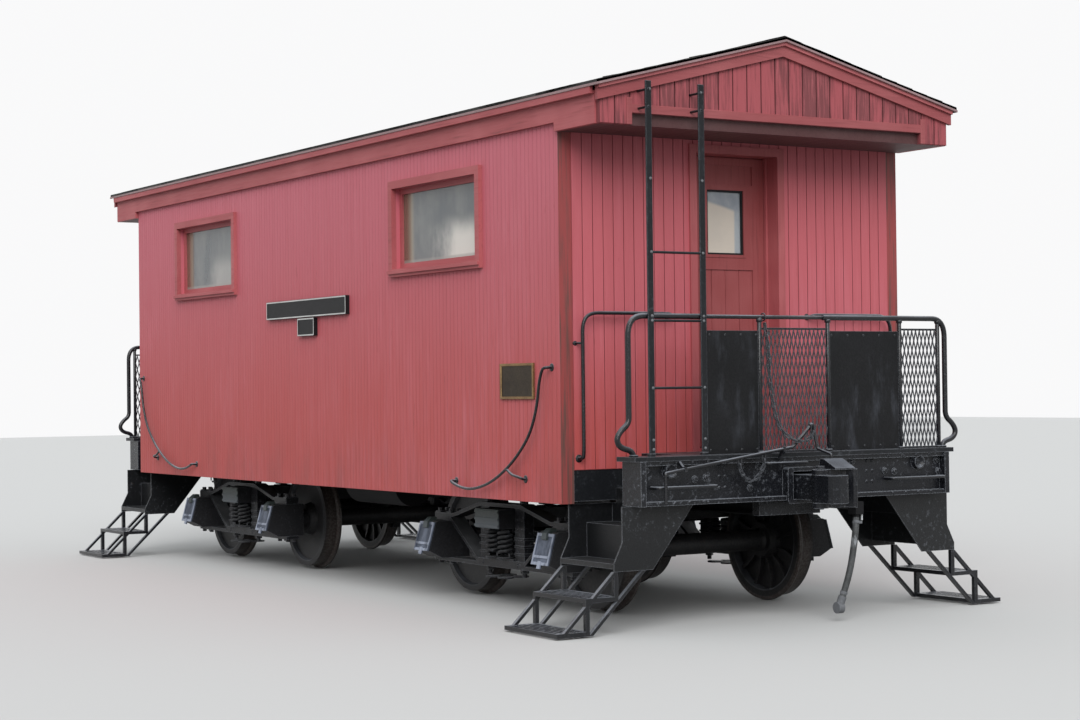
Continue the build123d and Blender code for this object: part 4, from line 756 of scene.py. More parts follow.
def board_row(name, along, half, width, face, out, z, thickness, groove):
    """Boards side by side with a V groove between neighbours, standing proud of a wall's face."""
    count, pitch = board_count(half, width)
    gap = 0.0004
    front = face + out * thickness

    def placed(run, across, up):
        return (run, across, up) if along == "x" else (across, run, up)

    board = bar(name, placed(gap - half, face - out * 0.001, z[0]), placed(pitch - gap - half, front, z[1]))
    with editing(board, "EDGE", "DESELECT") as mesh:
        for edge in mesh.edges:
            a, b = (placed(*vert.co) for vert in edge.verts)
            upright = abs(a[2] - b[2]) > 0.01 and abs(a[0] - b[0]) + abs(a[1] - b[1]) < 0.0001
            if upright and abs(a[1] - front) < 0.0005:
                edge.select = True
        mesh.select_flush(True)
        bmesh.update_edit_mesh(board.data)
        bpy.ops.mesh.bevel(offset=groove, segments=1)
    return rowed(board, count, placed(pitch, 0, 0))


def framed_panel(obj, border, step, deep):
    """A flat border and a sunk field on the face that looks along -y."""
    with editing(obj, "FACE", "DESELECT") as mesh:
        front = max(mesh.faces, key=lambda face: -face.normal.y * face.calc_area())
        front.select = True
        mesh.faces.active = front
        bmesh.update_edit_mesh(obj.data)
        bpy.ops.mesh.inset(thickness=border, depth=0)
        bpy.ops.mesh.inset(thickness=step, depth=-deep)


def painted_front(obj, paint, chosen):
    """Gives the faces along -y whose depth a test picks a second paint."""
    obj.data.materials.append(PAINTS[paint].material)
    for face in obj.data.polygons:
        if face.normal.y < -0.9 and chosen(face.center.y):
            face.material_index = 1


def rivet_head(radius, tall=0.55):
    """A low round head at the origin that stands on the plane x = 0 and points along +x."""
    bpy.ops.mesh.primitive_uv_sphere_add(segments=10, ring_count=6, radius=radius, rotation=(0, pi / 2, 0))
    bpy.context.object.scale = (1, 1, tall)
    return smooth(sliced(added("rivet_head"), (-0.0005, 0, 0), (-1, 0, 0)), 60)


def bolt_head(radius, tall):
    """A hexagon nut on its washer, pointing along +x."""
    bpy.ops.mesh.primitive_cylinder_add(vertices=6, radius=radius, depth=tall, rotation=(0, pi / 2, 0),
                                        location=(tall / 2 + 0.002, 0, 0))
    nut = bevelled(added("nut"), radius * 0.12)
    bpy.ops.mesh.primitive_cylinder_add(vertices=12, radius=radius * 1.45, depth=0.004,
                                        rotation=(0, pi / 2, 0), location=(0.0015, 0, 0))
    return joined([nut, added("washer")], "bolt_head")


def set_in_rows(name, head, rows, spin=0.0):
    """Copies one head to each place, or along a row where a step and a count follow the place."""
    moved_by(head, Matrix.Rotation(spin, 4, "Z"))
    pieces = []
    for first, *row in rows:
        pieces.append(copied(head, shift=first))
        if row:
            step, count = row
            rowed(pieces[-1], count, step)
    bpy.data.objects.remove(head)
    return joined(pieces, name)


def on_slope(obj, raised=0.0):
    """Lays a flat piece, drawn along +y from the ridge, on the left slope of the roof."""
    tilt = Matrix.Rotation(-atan2(ROOF_SLOPE, 1), 4, "X")
    return moved_by(obj, Matrix.Translation((0, 0, ROOF_TOP - ROOF_SLAB + raised)) @ tilt)


def slope_strip(name, x, depth, end_y):
    """A straight strip under the roof's end edge that folds at the ridge."""
    strip = on_slope(bar(name, (x[0], -0.2, depth[0]), (x[1], 2.0, depth[1])))
    sliced(strip, (0, 0, 0), (0, -1, 0))
    sliced(strip, (0, end_y, 0), (0, 1, 0))
    return joined([strip, turned_about(strip, (x[0] + x[1]) / 2)], name)


# Settings that a user would change
def paint_choice(name, description, default):
    return bpy.props.FloatVectorProperty(name=name, description=description, default=default,
                                         subtype="COLOR", min=0, max=1)


def length_choice(name, description, default, least, most):
    return bpy.props.FloatProperty(name=name, description=description, default=default,
                                   unit="LENGTH", min=least, max=most)


class CabooseColours(bpy.types.PropertyGroup):
    body: paint_choice("Body", "Paint of the side, end and gable boards", (0.445, 0.072, 0.068))
    trim: paint_choice("Trim", "Paint of the fascia, casings and corner boards", (0.360, 0.076, 0.084))
    door: paint_choice("Doors", "Paint of the doors", (0.255, 0.044, 0.046))
    # The ceilings' red paint, darkened as painted shade under the platform roofs
    ceiling_with_shade: paint_choice("Ceilings", "Paint under the platform roofs", (0.065, 0.018, 0.019))
    steel: paint_choice("Steel", "Paint of the ends, steps and railings", (0.010, 0.011, 0.013))


class CabooseSizes(bpy.types.PropertyGroup):
    end_board: length_choice("End board", "Width of one board of the end walls", 0.0825, 0.03, 0.3)
    side_board: length_choice("Side board", "Width of one board of the side walls", 0.053, 0.03, 0.3)
    gable_board: length_choice("Gable board", "Width of one board of the gables", 0.118, 0.03, 0.3)
    board_proud: length_choice("Board thickness", "How far the boards stand off the walls", 0.008,
                               0.002, 0.02)
    shingle: length_choice("Shingle tab", "Width of one shingle tab", 0.305, 0.1, 1.0)
    courses: bpy.props.IntProperty(name="Courses", description="Rows of shingles on each slope", default=11,
                                   min=4, max=30)
    mesh_wide: length_choice("Diamond width", "Width of one diamond of the railing mesh", 0.0345, 0.01, 0.2)
    mesh_tall: length_choice("Diamond height", "Height of one diamond of the railing mesh", 0.134, 0.01, 0.3)
    strand: length_choice("Strand", "Width of the railing mesh's strands", 0.0075, 0.002, 0.02)


class CABOOSE_OT_stage(bpy.types.Operator):
    """Pale floor, soft studio light and the photograph's camera"""
    bl_idname = "caboose.stage"
    bl_label = "Stage and camera"

    def execute(self, context):
        scene = context.scene
        scene.view_settings.view_transform = "Standard"
        scene.world = self.soft_world()
        bpy.ops.mesh.primitive_plane_add(size=120, location=(0, 0, -0.0005))
        floor = context.object
        floor.name = "studio_floor"
        p = Paint("studio_floor")
        seen, glossy, through = (p.node("ShaderNodeLightPath", out=ray) for ray in DIRECT_RAYS)
        direct = seen.biggest(glossy).biggest(through)
        p.set(Base_Color=p.mix((0.17, 0.17, 0.16), (0.58, 0.58, 0.575), direct), Roughness=0.9)
        p.shader.inputs["Specular IOR Level"].default_value = 0.1
        floor.data.materials.append(p.material)
        aim = Vector((-1.6, 1.0, -1.25)).to_track_quat("-Z", "Y").to_euler()
        bpy.ops.object.light_add(type="SUN", rotation=aim)
        sun = context.object
        sun.name = "soft_sun"
        sun.data.energy = 2.35
        sun.data.angle = radians(40)
        bpy.ops.object.camera_add()
        camera = context.object
        camera.name = "camera"
        bearing, rise, roll = (radians(angle) for angle in CAMERA_TURN)
        ahead = Vector((-sin(bearing) * cos(rise), cos(bearing) * cos(rise), sin(rise)))
        right = ahead.cross(Vector((0, 0, 1))).normalized()
        level = Matrix((right, right.cross(ahead), -ahead)).transposed().to_4x4()
        camera.matrix_world = Matrix.Translation(CAMERA_PLACE) @ level @ Matrix.Rotation(roll, 4, "Z")
        camera.data.sensor_width = 36
        camera.data.lens = CAMERA_LENS
        camera.data.clip_end = 500
        scene.camera = camera
        return {"FINISHED"}

    def soft_world(self):
        """A pale surround that lights the object a little less than it shows."""
        world = bpy.data.worlds.new("soft_light")
        world.use_nodes = True
        tree = world.node_tree
        soft = tree.nodes["Background"]
        soft.inputs["Color"].default_value = (0.95, 0.98, 1.0, 1)
        soft.inputs["Strength"].default_value = 0.80
        shown = tree.nodes.new("ShaderNodeBackground")
        shown.inputs["Color"].default_value = (0.95, 0.95, 0.955, 1)
        shown.inputs["Strength"].default_value = 1.0
        path = tree.nodes.new("ShaderNodeLightPath")
        direct = path.outputs[DIRECT_RAYS[0]]
        for ray in DIRECT_RAYS[1:]:
            either = tree.nodes.new("ShaderNodeMath")
            either.operation = "MAXIMUM"
            tree.links.new(direct, either.inputs[0])
            tree.links.new(path.outputs[ray], either.inputs[1])
            direct = either.outputs[0]
        mixer = tree.nodes.new("ShaderNodeMixShader")
        for number, output in enumerate((direct, soft.outputs[0], shown.outputs[0])):
            tree.links.new(output, mixer.inputs[number])
        tree.links.new(mixer.outputs[0], tree.nodes["World Output"].inputs["Surface"])
        return world


class CABOOSE_OT_finishes(bpy.types.Operator):
    """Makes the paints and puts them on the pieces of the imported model"""
    bl_idname = "caboose.finishes"
    bl_label = "Paints and finishes"

    def execute(self, context):
        colours = context.scene.caboose_colours
        sizes = context.scene.caboose_sizes
        body, trim = list(colours.body), list(colours.trim)
        _, side_pitch = board_count(WALL_X, sizes.side_board)
        _, end_pitch = board_count(WALL_Y - WALL_THICK, sizes.end_board)
        _, gable_pitch = board_count(GABLE_Y, sizes.gable_board)
        painted_boards("side_boards", body, "x", side_pitch, seam=0.16, gap=0.004, grime=0.3)
        painted_boards("end_boards", body, "y", end_pitch, seam=0.40, gap=0.003)
        gable_planks((body[0] * 0.80, body[1] * 1.02, body[2] * 1.28), gable_pitch)
        painted_trim("trim_along", trim, "x")
        painted_trim("trim_across", toned(trim, 0.80), "y", 0.6)
        painted_trim("trim_upright", trim, "z")
        painted_trim("trim_pale", toned(trim, 1.12, 0.03), "y", 0.4)
        # Ceiling paint darkened as painted shade
        painted_trim("ceiling_paint_and_shade", list(colours.ceiling_with_shade), "x", 0.5)
        painted_trim("door_paint", list(colours.door), "z", 0.8)
        steel_skin(Paint("black_steel"), list(colours.steel), gloss=0.24, dust_and_sheen=0.50, rust=0.25, edge=0.60,
                   dust_and_sheen_colour=(0.17, 0.18, 0.20), glint=0.35)
        for name, look in STEELS.items():
            steel_skin(Paint(name), **look)
        sheet_steel()
        box_iron()
        bolster_iron()
        window_glass()
        door_glass()
        shingles()
        hose_rubber()
        bronze("bronze", (0.30, 0.19, 0.085), (0.13, 0.075, 0.035))
        bronze("bronze_dark", (0.050, 0.036, 0.022), (0.026, 0.018, 0.012))
        floor_planks()
        frame_wood()
        finish_of = {node: paint for paint, nodes in FINISHES.items() for node in nodes}
        for end, way in ENDS:
            for place, out in (("outer", 1), ("inner", -1)):
                name = f"wheelset_{end}_{place}"
                wheel_steel(name, way * (TRUCK_X + out * AXLE_X))
                finish_of[name] = name
        for node, obj in NODES.items():
            other = "truck_iron" if node.startswith("truck") else "black_steel"
            material = PAINTS[finish_of.get(node, other)].material
            if not obj.material_slots:
                obj.data.materials.append(material)
            for material_slot in obj.material_slots:
                material_slot.material = material
        return {"FINISHED"}


class CABOOSE_OT_air_hoses(bpy.types.Operator):
    """Brake hoses that hang from the angle cocks, with their clamps and the cocks' handles"""
    bl_idname = "caboose.air_hoses"
    bl_label = "Air hoses"

    def execute(self, context):
        route = HOSE_ROUTE
        for end, way in ENDS:
            turned_route = [(way * x, way * y, z) for x, y, z in route]
            hose = round_curve(f"brake_hose_{end}", turned_route, 0.022, facets=5, steps=12)
            hose.data.materials.append(PAINTS["hose_rubber"].material)
            for number, (at, towards, inset) in enumerate(((0, 1, 0.030), (-1, -2, 0.024))):
                here = Vector(route[at])
                lean = (Vector(route[towards]) - here).normalized()
                clamp = self.clamp(here + lean * inset, lean)
                if way < 0:
                    moved_by(clamp, Matrix.Rotation(pi, 4, "Z"))
                clamp.name = f"hose_clamp_{end}_{number}"
                finished(clamp, "fitting_steel")
            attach(hose, "carbody")
            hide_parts(f"air_hose_{end}")
        grip = bar("grip", (4.655, 0.372, 0.668), (4.667, 0.384, 0.768), 0.003)
        foot = bar("foot", (4.640, 0.352, 0.752), (4.668, 0.386, 0.766), 0.003)
        with_turned_twin(joined([grip, foot], "cock_handle_near"), "pale_paint")
        return {"FINISHED"}

    def clamp(self, place, lean):
        """A band round the hose with a bolted lug."""
        bpy.ops.mesh.primitive_cylinder_add(vertices=24, radius=0.0255, depth=0.020)
        band = bevelled(added("band"), 0.002)
        lug = bar("lug", (0.020, -0.006, -0.009), (0.042, 0.006, 0.009), 0.002)
        spin = lean.to_track_quat("Z", "Y").to_matrix().to_4x4()
        return moved_by(joined([band, lug], "hose_clamp"), Matrix.Translation(place) @ spin)


class CABOOSE_OT_wall_boards(bpy.types.Operator):
    """Grooved boards on the side walls, end walls and gables"""
    bl_idname = "caboose.wall_boards"
    bl_label = "Wall boards"

    def execute(self, context):
        sizes = context.scene.caboose_sizes
        self.side_boards(sizes)
        self.end_boards(sizes)
        self.gable_boards(sizes)
        return {"FINISHED"}

    def side_boards(self, sizes):
        casing_low, casing_high = low("window_casings"), high("window_casings")
        top = low("eave_boards").z + 0.06
        boards = board_row("side_boards_right", "x", WALL_X, sizes.side_board, -WALL_Y, -1, (SKIRT_Z, top),
                           sizes.board_proud, 0.0013)
        for middle in (WINDOW_X, -WINDOW_X):
            carved(boards, (middle - WINDOW_GAP, -WALL_Y - 0.1, casing_low.z + 0.03),
                   (middle + WINDOW_GAP, -WALL_Y + 0.1, casing_high.z - 0.03))
        with_turned_twin(boards, "side_boards", "side_boards_left")

    def end_boards(self, sizes):
        boards = board_row("end_boards_near", "y", WALL_Y - WALL_THICK, sizes.end_board, WALL_X, 1,
                           (low("end_walls").z, CEILING_Z + 0.004), sizes.board_proud, 0.0035)
        carved(boards, (WALL_X - 0.1, -DOOR_HALF, DECK_Z - 0.2),
               (WALL_X + 0.1, DOOR_HALF, DECK_Z + DOOR_TALL))
        with_turned_twin(boards, "end_boards")

    def gable_boards(self, sizes):
        bottom = low("gable_boards").z
        planks = board_row("gable_planks_near", "y", GABLE_Y, sizes.gable_board, GABLE_X, 1,
                           (bottom, ROOF_TOP), 0.009, 0.004)
        for way in (1, -1):
            lean = Vector((0, way * ROOF_SLOPE, 1)).normalized()
            sliced(planks, (0, 0, ROOF_TOP - ROOF_SLAB - 0.09), lean)
        carved(planks, (GABLE_X - 0.1, -EAR_Y, CEILING_Z - 0.2), (GABLE_X + 0.1, EAR_Y, GABLE_LOW))
        back = GABLE_X - 0.001
        rail = [bar("rail", (back, -EAR_Y, GABLE_LOW), (GABLE_X + 0.016, EAR_Y, GABLE_LOW + 0.058), 0.003)]
        for side in (1, -1):
            rail.append(bar("ear_strip", (back, side * (EAR_Y - 0.004), bottom),
                            (GABLE_X + 0.018, side * (EAR_Y + 0.038), GABLE_LOW + 0.100), 0.003))
        with_turned_twin(joined(rail, "gable_rail_near"), "trim_across")
        with_turned_twin(planks, "gable_boards")


class CABOOSE_OT_roofing(bpy.types.Operator):
    """Shingles in courses, ridge caps, drip edges and the mouldings under them"""
    bl_idname = "caboose.roofing"
    bl_label = "Roofing"
    deck_thick = 0.0155
    butt = 0.0060

    def execute(self, context):
        half = self.half_roof(context.scene.caboose_sizes)
        roof = joined([half, turned_about(half, 0), self.ridge_caps()], "shingled_roof")
        finished(roof, "shingles")
        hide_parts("roof")
        self.lifted_shingles()
        moulding = slope_strip("rake_moulding_near", (BARGE_X - 0.001, BARGE_X + 0.019), (-0.036, 0.0),
                               ROOF_Y - 0.025)
        drip = slope_strip("rake_drip_near", (BARGE_X + 0.017, ROOF_X + 0.005), (-0.013, 0.0005),
                           ROOF_Y + 0.004)
        with_turned_twin(moulding, "trim_pale")
        with_turned_twin(drip, "drip_metal")
        eave_z = ROOF_TOP - ROOF_SLAB - ROOF_SLOPE * ROOF_Y
        gutter = bar("eave_drip_left", (-ROOF_X, ROOF_Y - 0.004, eave_z - 0.016),
                     (ROOF_X, ROOF_Y + 0.006, eave_z + 0.0005), 0.001)
        with_turned_twin(gutter, "drip_metal", "eave_drip_right")
        return {"FINISHED"}

    def half_roof(self, sizes):
        """Two sets of courses, half a tab apart, on the boards of the left slope."""
        slope_length = Vector((ROOF_Y, ROOF_Y * ROOF_SLOPE)).length
        exposure = slope_length / sizes.courses
        columns = round(2 * ROOF_X / sizes.shingle)
        tab_width = 2 * ROOF_X / columns
        deck = bar("roof_deck", (-ROOF_X, -0.2, 0), (ROOF_X, slope_length + 0.2, self.deck_thick))
        tabs = []
        for parity in (0, 1):
            first = -ROOF_X - 0.5 * parity * tab_width
            tab = bar("tab", (first + 0.004, 0, 0), (first + tab_width - 0.004, exposure * 1.22, self.butt))
            with editing(tab, action="DESELECT") as mesh:
                for vert in mesh.verts:
                    vert.select = vert.co.y < 0.001 and vert.co.z > self.butt * 0.5
                bmesh.update_edit_mesh(tab.data)
                bpy.ops.transform.translate(value=(0, 0, -self.butt * 0.8))
            rowed(tab, columns + parity, (tab_width, 0, 0))
            moved_by(tab, Matrix.Translation((0, (parity - 0.22) * exposure, self.deck_thick)))
            tabs.append(rowed(tab, (sizes.courses + 1 - parity) // 2, (0, 2 * exposure, 0)))
        cover = joined(tabs, "shingle_tabs")
        with editing(cover):
            bpy.ops.transform.vertex_random(offset=0.0022, uniform=0.0, normal=0.0, seed=7)
        half = on_slope(joined([cover, deck], "roof_left"))
        sliced(half, (0, 0, 0), (0, -1, 0))
        sliced(half, (0, ROOF_Y, 0), (0, 1, 0))
        return self.cut_at_ends(half)

    def ridge_caps(self):
        """Bent shingles that overlap along the ridge."""
        usual_step = 0.142
        caps = round(2 * ROOF_X / usual_step)
        step = 2 * ROOF_X / caps
        cap = on_slope(bar("ridge_cap", (0, -0.05, 0), (step * 1.18, 0.145, 0.0032)))
        sliced(cap, (0, 0, 0), (0, -1, 0))
        cap = joined([cap, turned_about(cap, step * 0.59)], "ridge_cap")
        moved_by(cap, Matrix.Translation((-ROOF_X, 0, self.deck_thick + self.butt + 0.0016))
                 @ Matrix.Rotation(-0.010, 4, "Y"))
        return self.cut_at_ends(rowed(cap, caps, (step, 0, 0)))

    def cut_at_ends(self, piece):
        for way in (1, -1):
            sliced(piece, (way * ROOF_X, 0, 0), (way, 0, 0))
        return piece

    def lifted_shingles(self):
        """A few tabs that have curled up at the near end and along one eave."""
        lifted = bar("lifted_shingles", (-0.055, 0, 0), (0.055, 0.13, 0.006), 0.001)
        curls = []
        for x, y, height, lean in ((4.345, -1.40, 0.019, 0.16), (4.30, -1.30, 0.017, 0.20),
                                   (4.348, -0.72, 0.020, 0.14), (4.20, -0.98, 0.018, 0.12),
                                   (3.90, -1.45, 0.016, 0.15), (2.6, -1.44, 0.016, 0.12)):
            place = (Matrix.Translation((x, y, ROOF_TOP + y * ROOF_SLOPE - ROOF_SLAB + height))
                     @ Matrix.Rotation(atan2(ROOF_SLOPE, 1) - lean, 4, "X")
                     @ Matrix.Rotation(lean * 1.4, 4, "Z"))
            curls.append(moved_by(copied(lifted), place))
        bpy.data.objects.remove(lifted)
        finished(joined(curls, "lifted_shingles"), "shingles")


class CABOOSE_OT_window_frames(bpy.types.Operator):
    """Wooden frames behind the window panes, and frames and metal plates on the doors"""
    bl_idname = "caboose.window_frames"
    bl_label = "Window frames"

    def execute(self, context):
        inner = []
        for middle in (WINDOW_X, -WINDOW_X):
            x_low, x_high = middle - PANE_HALF, middle + PANE_HALF
            z_low, z_high = WINDOW_Z
            wood = bar("window_frame", (x_low - 0.030, PANE_Y - 0.095, z_low - 0.030),
                       (x_high + 0.030, PANE_Y - 0.012, z_high + 0.030), 0.002)
            inner.append(carved(wood, (x_low, PANE_Y - 0.5, z_low), (x_high, PANE_Y + 0.5, z_high)))
        with_turned_twin(joined(inner, "inner_frames_left"), "frame_wood", "inner_frames_right")
        for end, way in ENDS:
            glass_low, glass_high = low(f"door_glass_{end}"), high(f"door_glass_{end}")
            middle = (glass_low.x + glass_high.x) / 2
            half_deep, rim_wide = 0.018, 0.013
            rim = bar(f"door_pane_frame_{end}",
                      (middle - half_deep, glass_low.y - 0.001, glass_low.z - 0.001),
                      (middle + half_deep, glass_high.y + 0.001, glass_high.z + 0.001))
            carved(rim, (middle - 0.2, glass_low.y + rim_wide, glass_low.z + rim_wide),
                   (middle + 0.2, glass_high.y - rim_wide, glass_high.z - rim_wide))
            finished(bevelled(rim, 0.0015), "sign_black", f"door_{end}")
            knob_y = way * -0.285
            skin = middle + way * 0.0236
            plates = [bar("plate", (skin, knob_y - 0.026, z_low),
                          (skin + way * 0.003, knob_y + 0.026, z_high), 0.001)
                      for z_low, z_high in ((1.995, 2.165), (2.195, 2.255))]
            finished(joined(plates, f"door_plates_{end}"), "fitting_steel", f"door_{end}")
        return {"FINISHED"}


class CABOOSE_OT_railing_mesh(bpy.types.Operator):
    """Expanded metal in the railings, in place of the coarse solid"""
    bl_idname = "caboose.railing_mesh"
    bl_label = "Railing mesh"

    def execute(self, context):
        sizes = context.scene.caboose_sizes
        wide = sizes.mesh_wide
        tilt = atan2(wide, sizes.mesh_tall)
        reach = (MESH_TOP - DECK_Z) / cos(tilt) + wide
        shift = (MESH_TOP - DECK_Z) * tan(tilt)
        panels = []
        for y_low, y_high in ((-POST_Y, POST_Y), MESH_Y):
            count = int((y_high - y_low + shift) / wide) + 2
            for way, depth, start in ((1, 0.0024, y_low), (-1, 0.0032, y_low - shift)):
                strand = bar("strand", (-depth, -sizes.strand / 2, 0), (depth, sizes.strand / 2, reach))
                moved_by(strand, Matrix.Translation((RAILING_X, start, DECK_Z - 0.005))
                         @ Matrix.Rotation(way * tilt, 4, "X"))
                rowed(strand, count, (0, wide, 0))
                for point, normal in (((0, y_low, 0), (0, -1, 0)), ((0, y_high, 0), (0, 1, 0)),
                                      ((0, 0, DECK_Z), (0, 0, -1)), ((0, 0, MESH_TOP), (0, 0, 1))):
                    sliced(strand, point, normal)
                panels.append(strand)
            for z in (DECK_Z, MESH_TOP - 0.014):
                panels.append(bar("edge", (RAILING_X - 0.005, y_low, z),
                                  (RAILING_X + 0.005, y_high, z + 0.014), 0.0015))
        for mesh in with_turned_twin(joined(panels, "expanded_metal_near"), "black_steel"):
            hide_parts("railing_mesh")
        return {"FINISHED"}


class CABOOSE_OT_railings(bpy.types.Operator):
    """Bent pipe railings with bowed ends, in place of the plain solids"""
    bl_idname = "caboose.railings"
    bl_label = "End railings"

    def execute(self, context):
        bow = high("end_railings").y - 0.0205
        outer = bow - 0.095
        foot = bow - 0.128
        half = [(foot, 0.0), (foot + 0.006, 0.040), (bow - 0.028, 0.060), (bow + 0.004, 0.112),
                (bow - 0.030, 0.168), (outer, 0.215), (outer, 0.300), (outer, 0.640), (outer, 0.900),
                (outer - 0.230, 0.900), (0.9 * POST_Y, 0.900)]
        left = [(RAILING_X, -y, DECK_Z + z) for y, z in half[:-1]] + [(RAILING_X, STILE_Y[1], RAIL_Z)]
        right = [(RAILING_X, y, DECK_Z + z) for y, z in half]
        pieces = [bent_rod("rail", left, 0.019), bent_rod("rail", right, 0.019),
                  rod("rail", (RAILING_X, STILE_Y[1] - 0.060, RAIL_Z), (RAILING_X, 0.290, RAIL_Z), 0.0135)]

        def upright(name, y, z_low, z_high, radius):
            pieces.append(rod(name, (RAILING_X, y, z_low), (RAILING_X, y, z_high), radius))

        for y in (-POST_Y - 0.015, POST_Y + 0.015, MESH_Y[0] - 0.015, MESH_Y[1] + 0.015):
            upright("post", y, DECK_Z, RAIL_Z, 0.015)
            upright("collar", y, RAIL_Z - 0.034, RAIL_Z - 0.012, 0.021)
            upright("base", y, DECK_Z, DECK_Z + 0.014, 0.026)
        for y in (foot, -foot):
            upright("base", y, DECK_Z, DECK_Z + 0.014, 0.032)
        bpy.ops.mesh.primitive_torus_add(major_radius=0.0245, minor_radius=0.0045, major_segments=20,
                                         minor_segments=8, location=(RAILING_X, -0.258, RAIL_Z),
                                         rotation=(pi / 2, 0, 0))
        pieces.append(smooth(added("ring"), 60))
        for rail in with_turned_twin(joined(pieces, "end_rail_near"), "rod_steel"):
            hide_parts("end_railings")
        return {"FINISHED"}


class CABOOSE_OT_ladders(bpy.types.Operator):
    """Flat-bar ladders with riveted rungs, in place of the plain solids"""
    bl_idname = "caboose.ladders"
    bl_label = "Ladders"

    def execute(self, context):
        back = STILE_X - 0.012
        pieces = []
        for y_low, y_high in ((STILE_Y[0] - 0.031, STILE_Y[0] + 0.015),
                              (STILE_Y[1] - 0.023, STILE_Y[1] + 0.023)):
            pieces.append(bar("stile", (back, y_low, DECK_Z + 0.018), (STILE_X, y_high, STILE_TOP), 0.0025))
            middle = (y_low + y_high) / 2
            for z in (GABLE_LOW + 0.030, STILE_TOP - 0.055):
                pieces.append(rod("stand_off", (GABLE_X, middle, z), (STILE_X + 0.006, middle, z), 0.008))
            pieces.append(bar("foot", (BEAM_X - 0.060, y_low, DECK_Z),
                              (STILE_X + 0.001, y_high, DECK_Z + 0.020), 0.003))
        for rung in RUNGS:
            pieces.append(rod("rung", (back + 0.006, STILE_Y[0] + 0.010, DECK_Z + rung),
                              (back + 0.006, STILE_Y[1] - 0.020, DECK_Z + rung), 0.0085))
        for ladder in with_turned_twin(joined(pieces, "ladder_near"), "black_steel"):
            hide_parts("end_ladders")
        return {"FINISHED"}


class CABOOSE_OT_side_irons(bpy.types.Operator):
    """Curved grab irons on the side walls, with their flanges and lower brackets"""
    bl_idname = "caboose.side_irons"
    bl_label = "Side grab irons"

    def execute(self, context):
        stand = WALL_Y + 0.060
        top, foot, tip = IRON_TOP, IRON_FOOT, IRON_CURVE[-1]
        end = (tip[0] - 0.035, tip[1] + 0.014)
        main = [(top[0], WALL_Y, top[1]), (top[0], stand - 0.020, top[1]),
                (top[0] - 0.014, stand, top[1] - 0.003),
                *((x, stand, z) for x, z in IRON_CURVE),
                (end[0] + 0.008, stand, end[1]), (end[0], stand - 0.016, end[1]), (end[0], WALL_Y, end[1])]
        start = IRON_CURVE[5]
        prong = [(start[0] + 0.033, stand, start[1] + 0.020), (start[0] + 0.090, stand, start[1] - 0.016),
                 (foot[0] - 0.030, stand, foot[1] + 0.018), (foot[0], stand - 0.010, foot[1] + 0.010),
                 (foot[0], stand - 0.030, foot[1]), (foot[0], WALL_Y, foot[1])]
        iron = []
        for name, route, radius in (("grab_iron", main, 0.0105), ("prong", prong, 0.0095)):
            iron.append(bent_rod(name, [(WALL_X + x, -y, DECK_Z + z) for x, y, z in route], radius))
        for x, z in (top, foot, end):
            wall = Vector((WALL_X + x, -WALL_Y, DECK_Z + z))
            iron.append(rod("flange", wall, wall - Vector((0, 0.013, 0)), 0.027, 20))
        for piece in at_four_corners(iron, "grab_iron", "right", "left"):
            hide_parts("side_grab_irons")
        return {"FINISHED"}


class CABOOSE_OT_wall_pipes(bpy.types.Operator):
    """Smooth grab pipes on the end walls beside the doors, each with its flanges and a stay"""
    bl_idname = "caboose.wall_pipes"
    bl_label = "End-wall grab pipes"

    def execute(self, context):
        flange_radius = 0.0374
        outer = high("end_wall_grab_pipes").y - flange_radius
        end = 0.605
        stand = WALL_X + 0.070
        foot = DECK_Z - 0.022
        top = DECK_Z + 0.940
        stay = top - 0.200
        route = [(WALL_X, outer, foot), (stand - 0.020, outer, foot), (stand, outer, foot + 0.020),
                 (stand, outer, foot + 0.200), (stand, outer, top - 0.200), (stand, outer, top - 0.060),
                 (stand, outer - 0.060, top), (stand, outer - 0.200, top), (stand, end + 0.050, top),
                 (stand, end + 0.012, top - 0.003), (stand - 0.020, end, top - 0.010),
                 (WALL_X, end, top - 0.012)]
        pipe = [bent_rod("grab_pipe", route, 0.0125),
                rod("stay", (stand, outer, stay), (WALL_X, outer + 0.020, stay), 0.008)]
        for y, z, radius in ((outer, foot, 0.030), (end, top - 0.012, 0.026), (outer + 0.020, stay, 0.017)):
            pipe.append(rod("flange", (WALL_X, y, z), (WALL_X + 0.010, y, z), radius, 20))
        for piece in at_four_corners(pipe, "grab_pipe", "left", "right"):
            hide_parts("end_wall_grab_pipes")
        return {"FINISHED"}


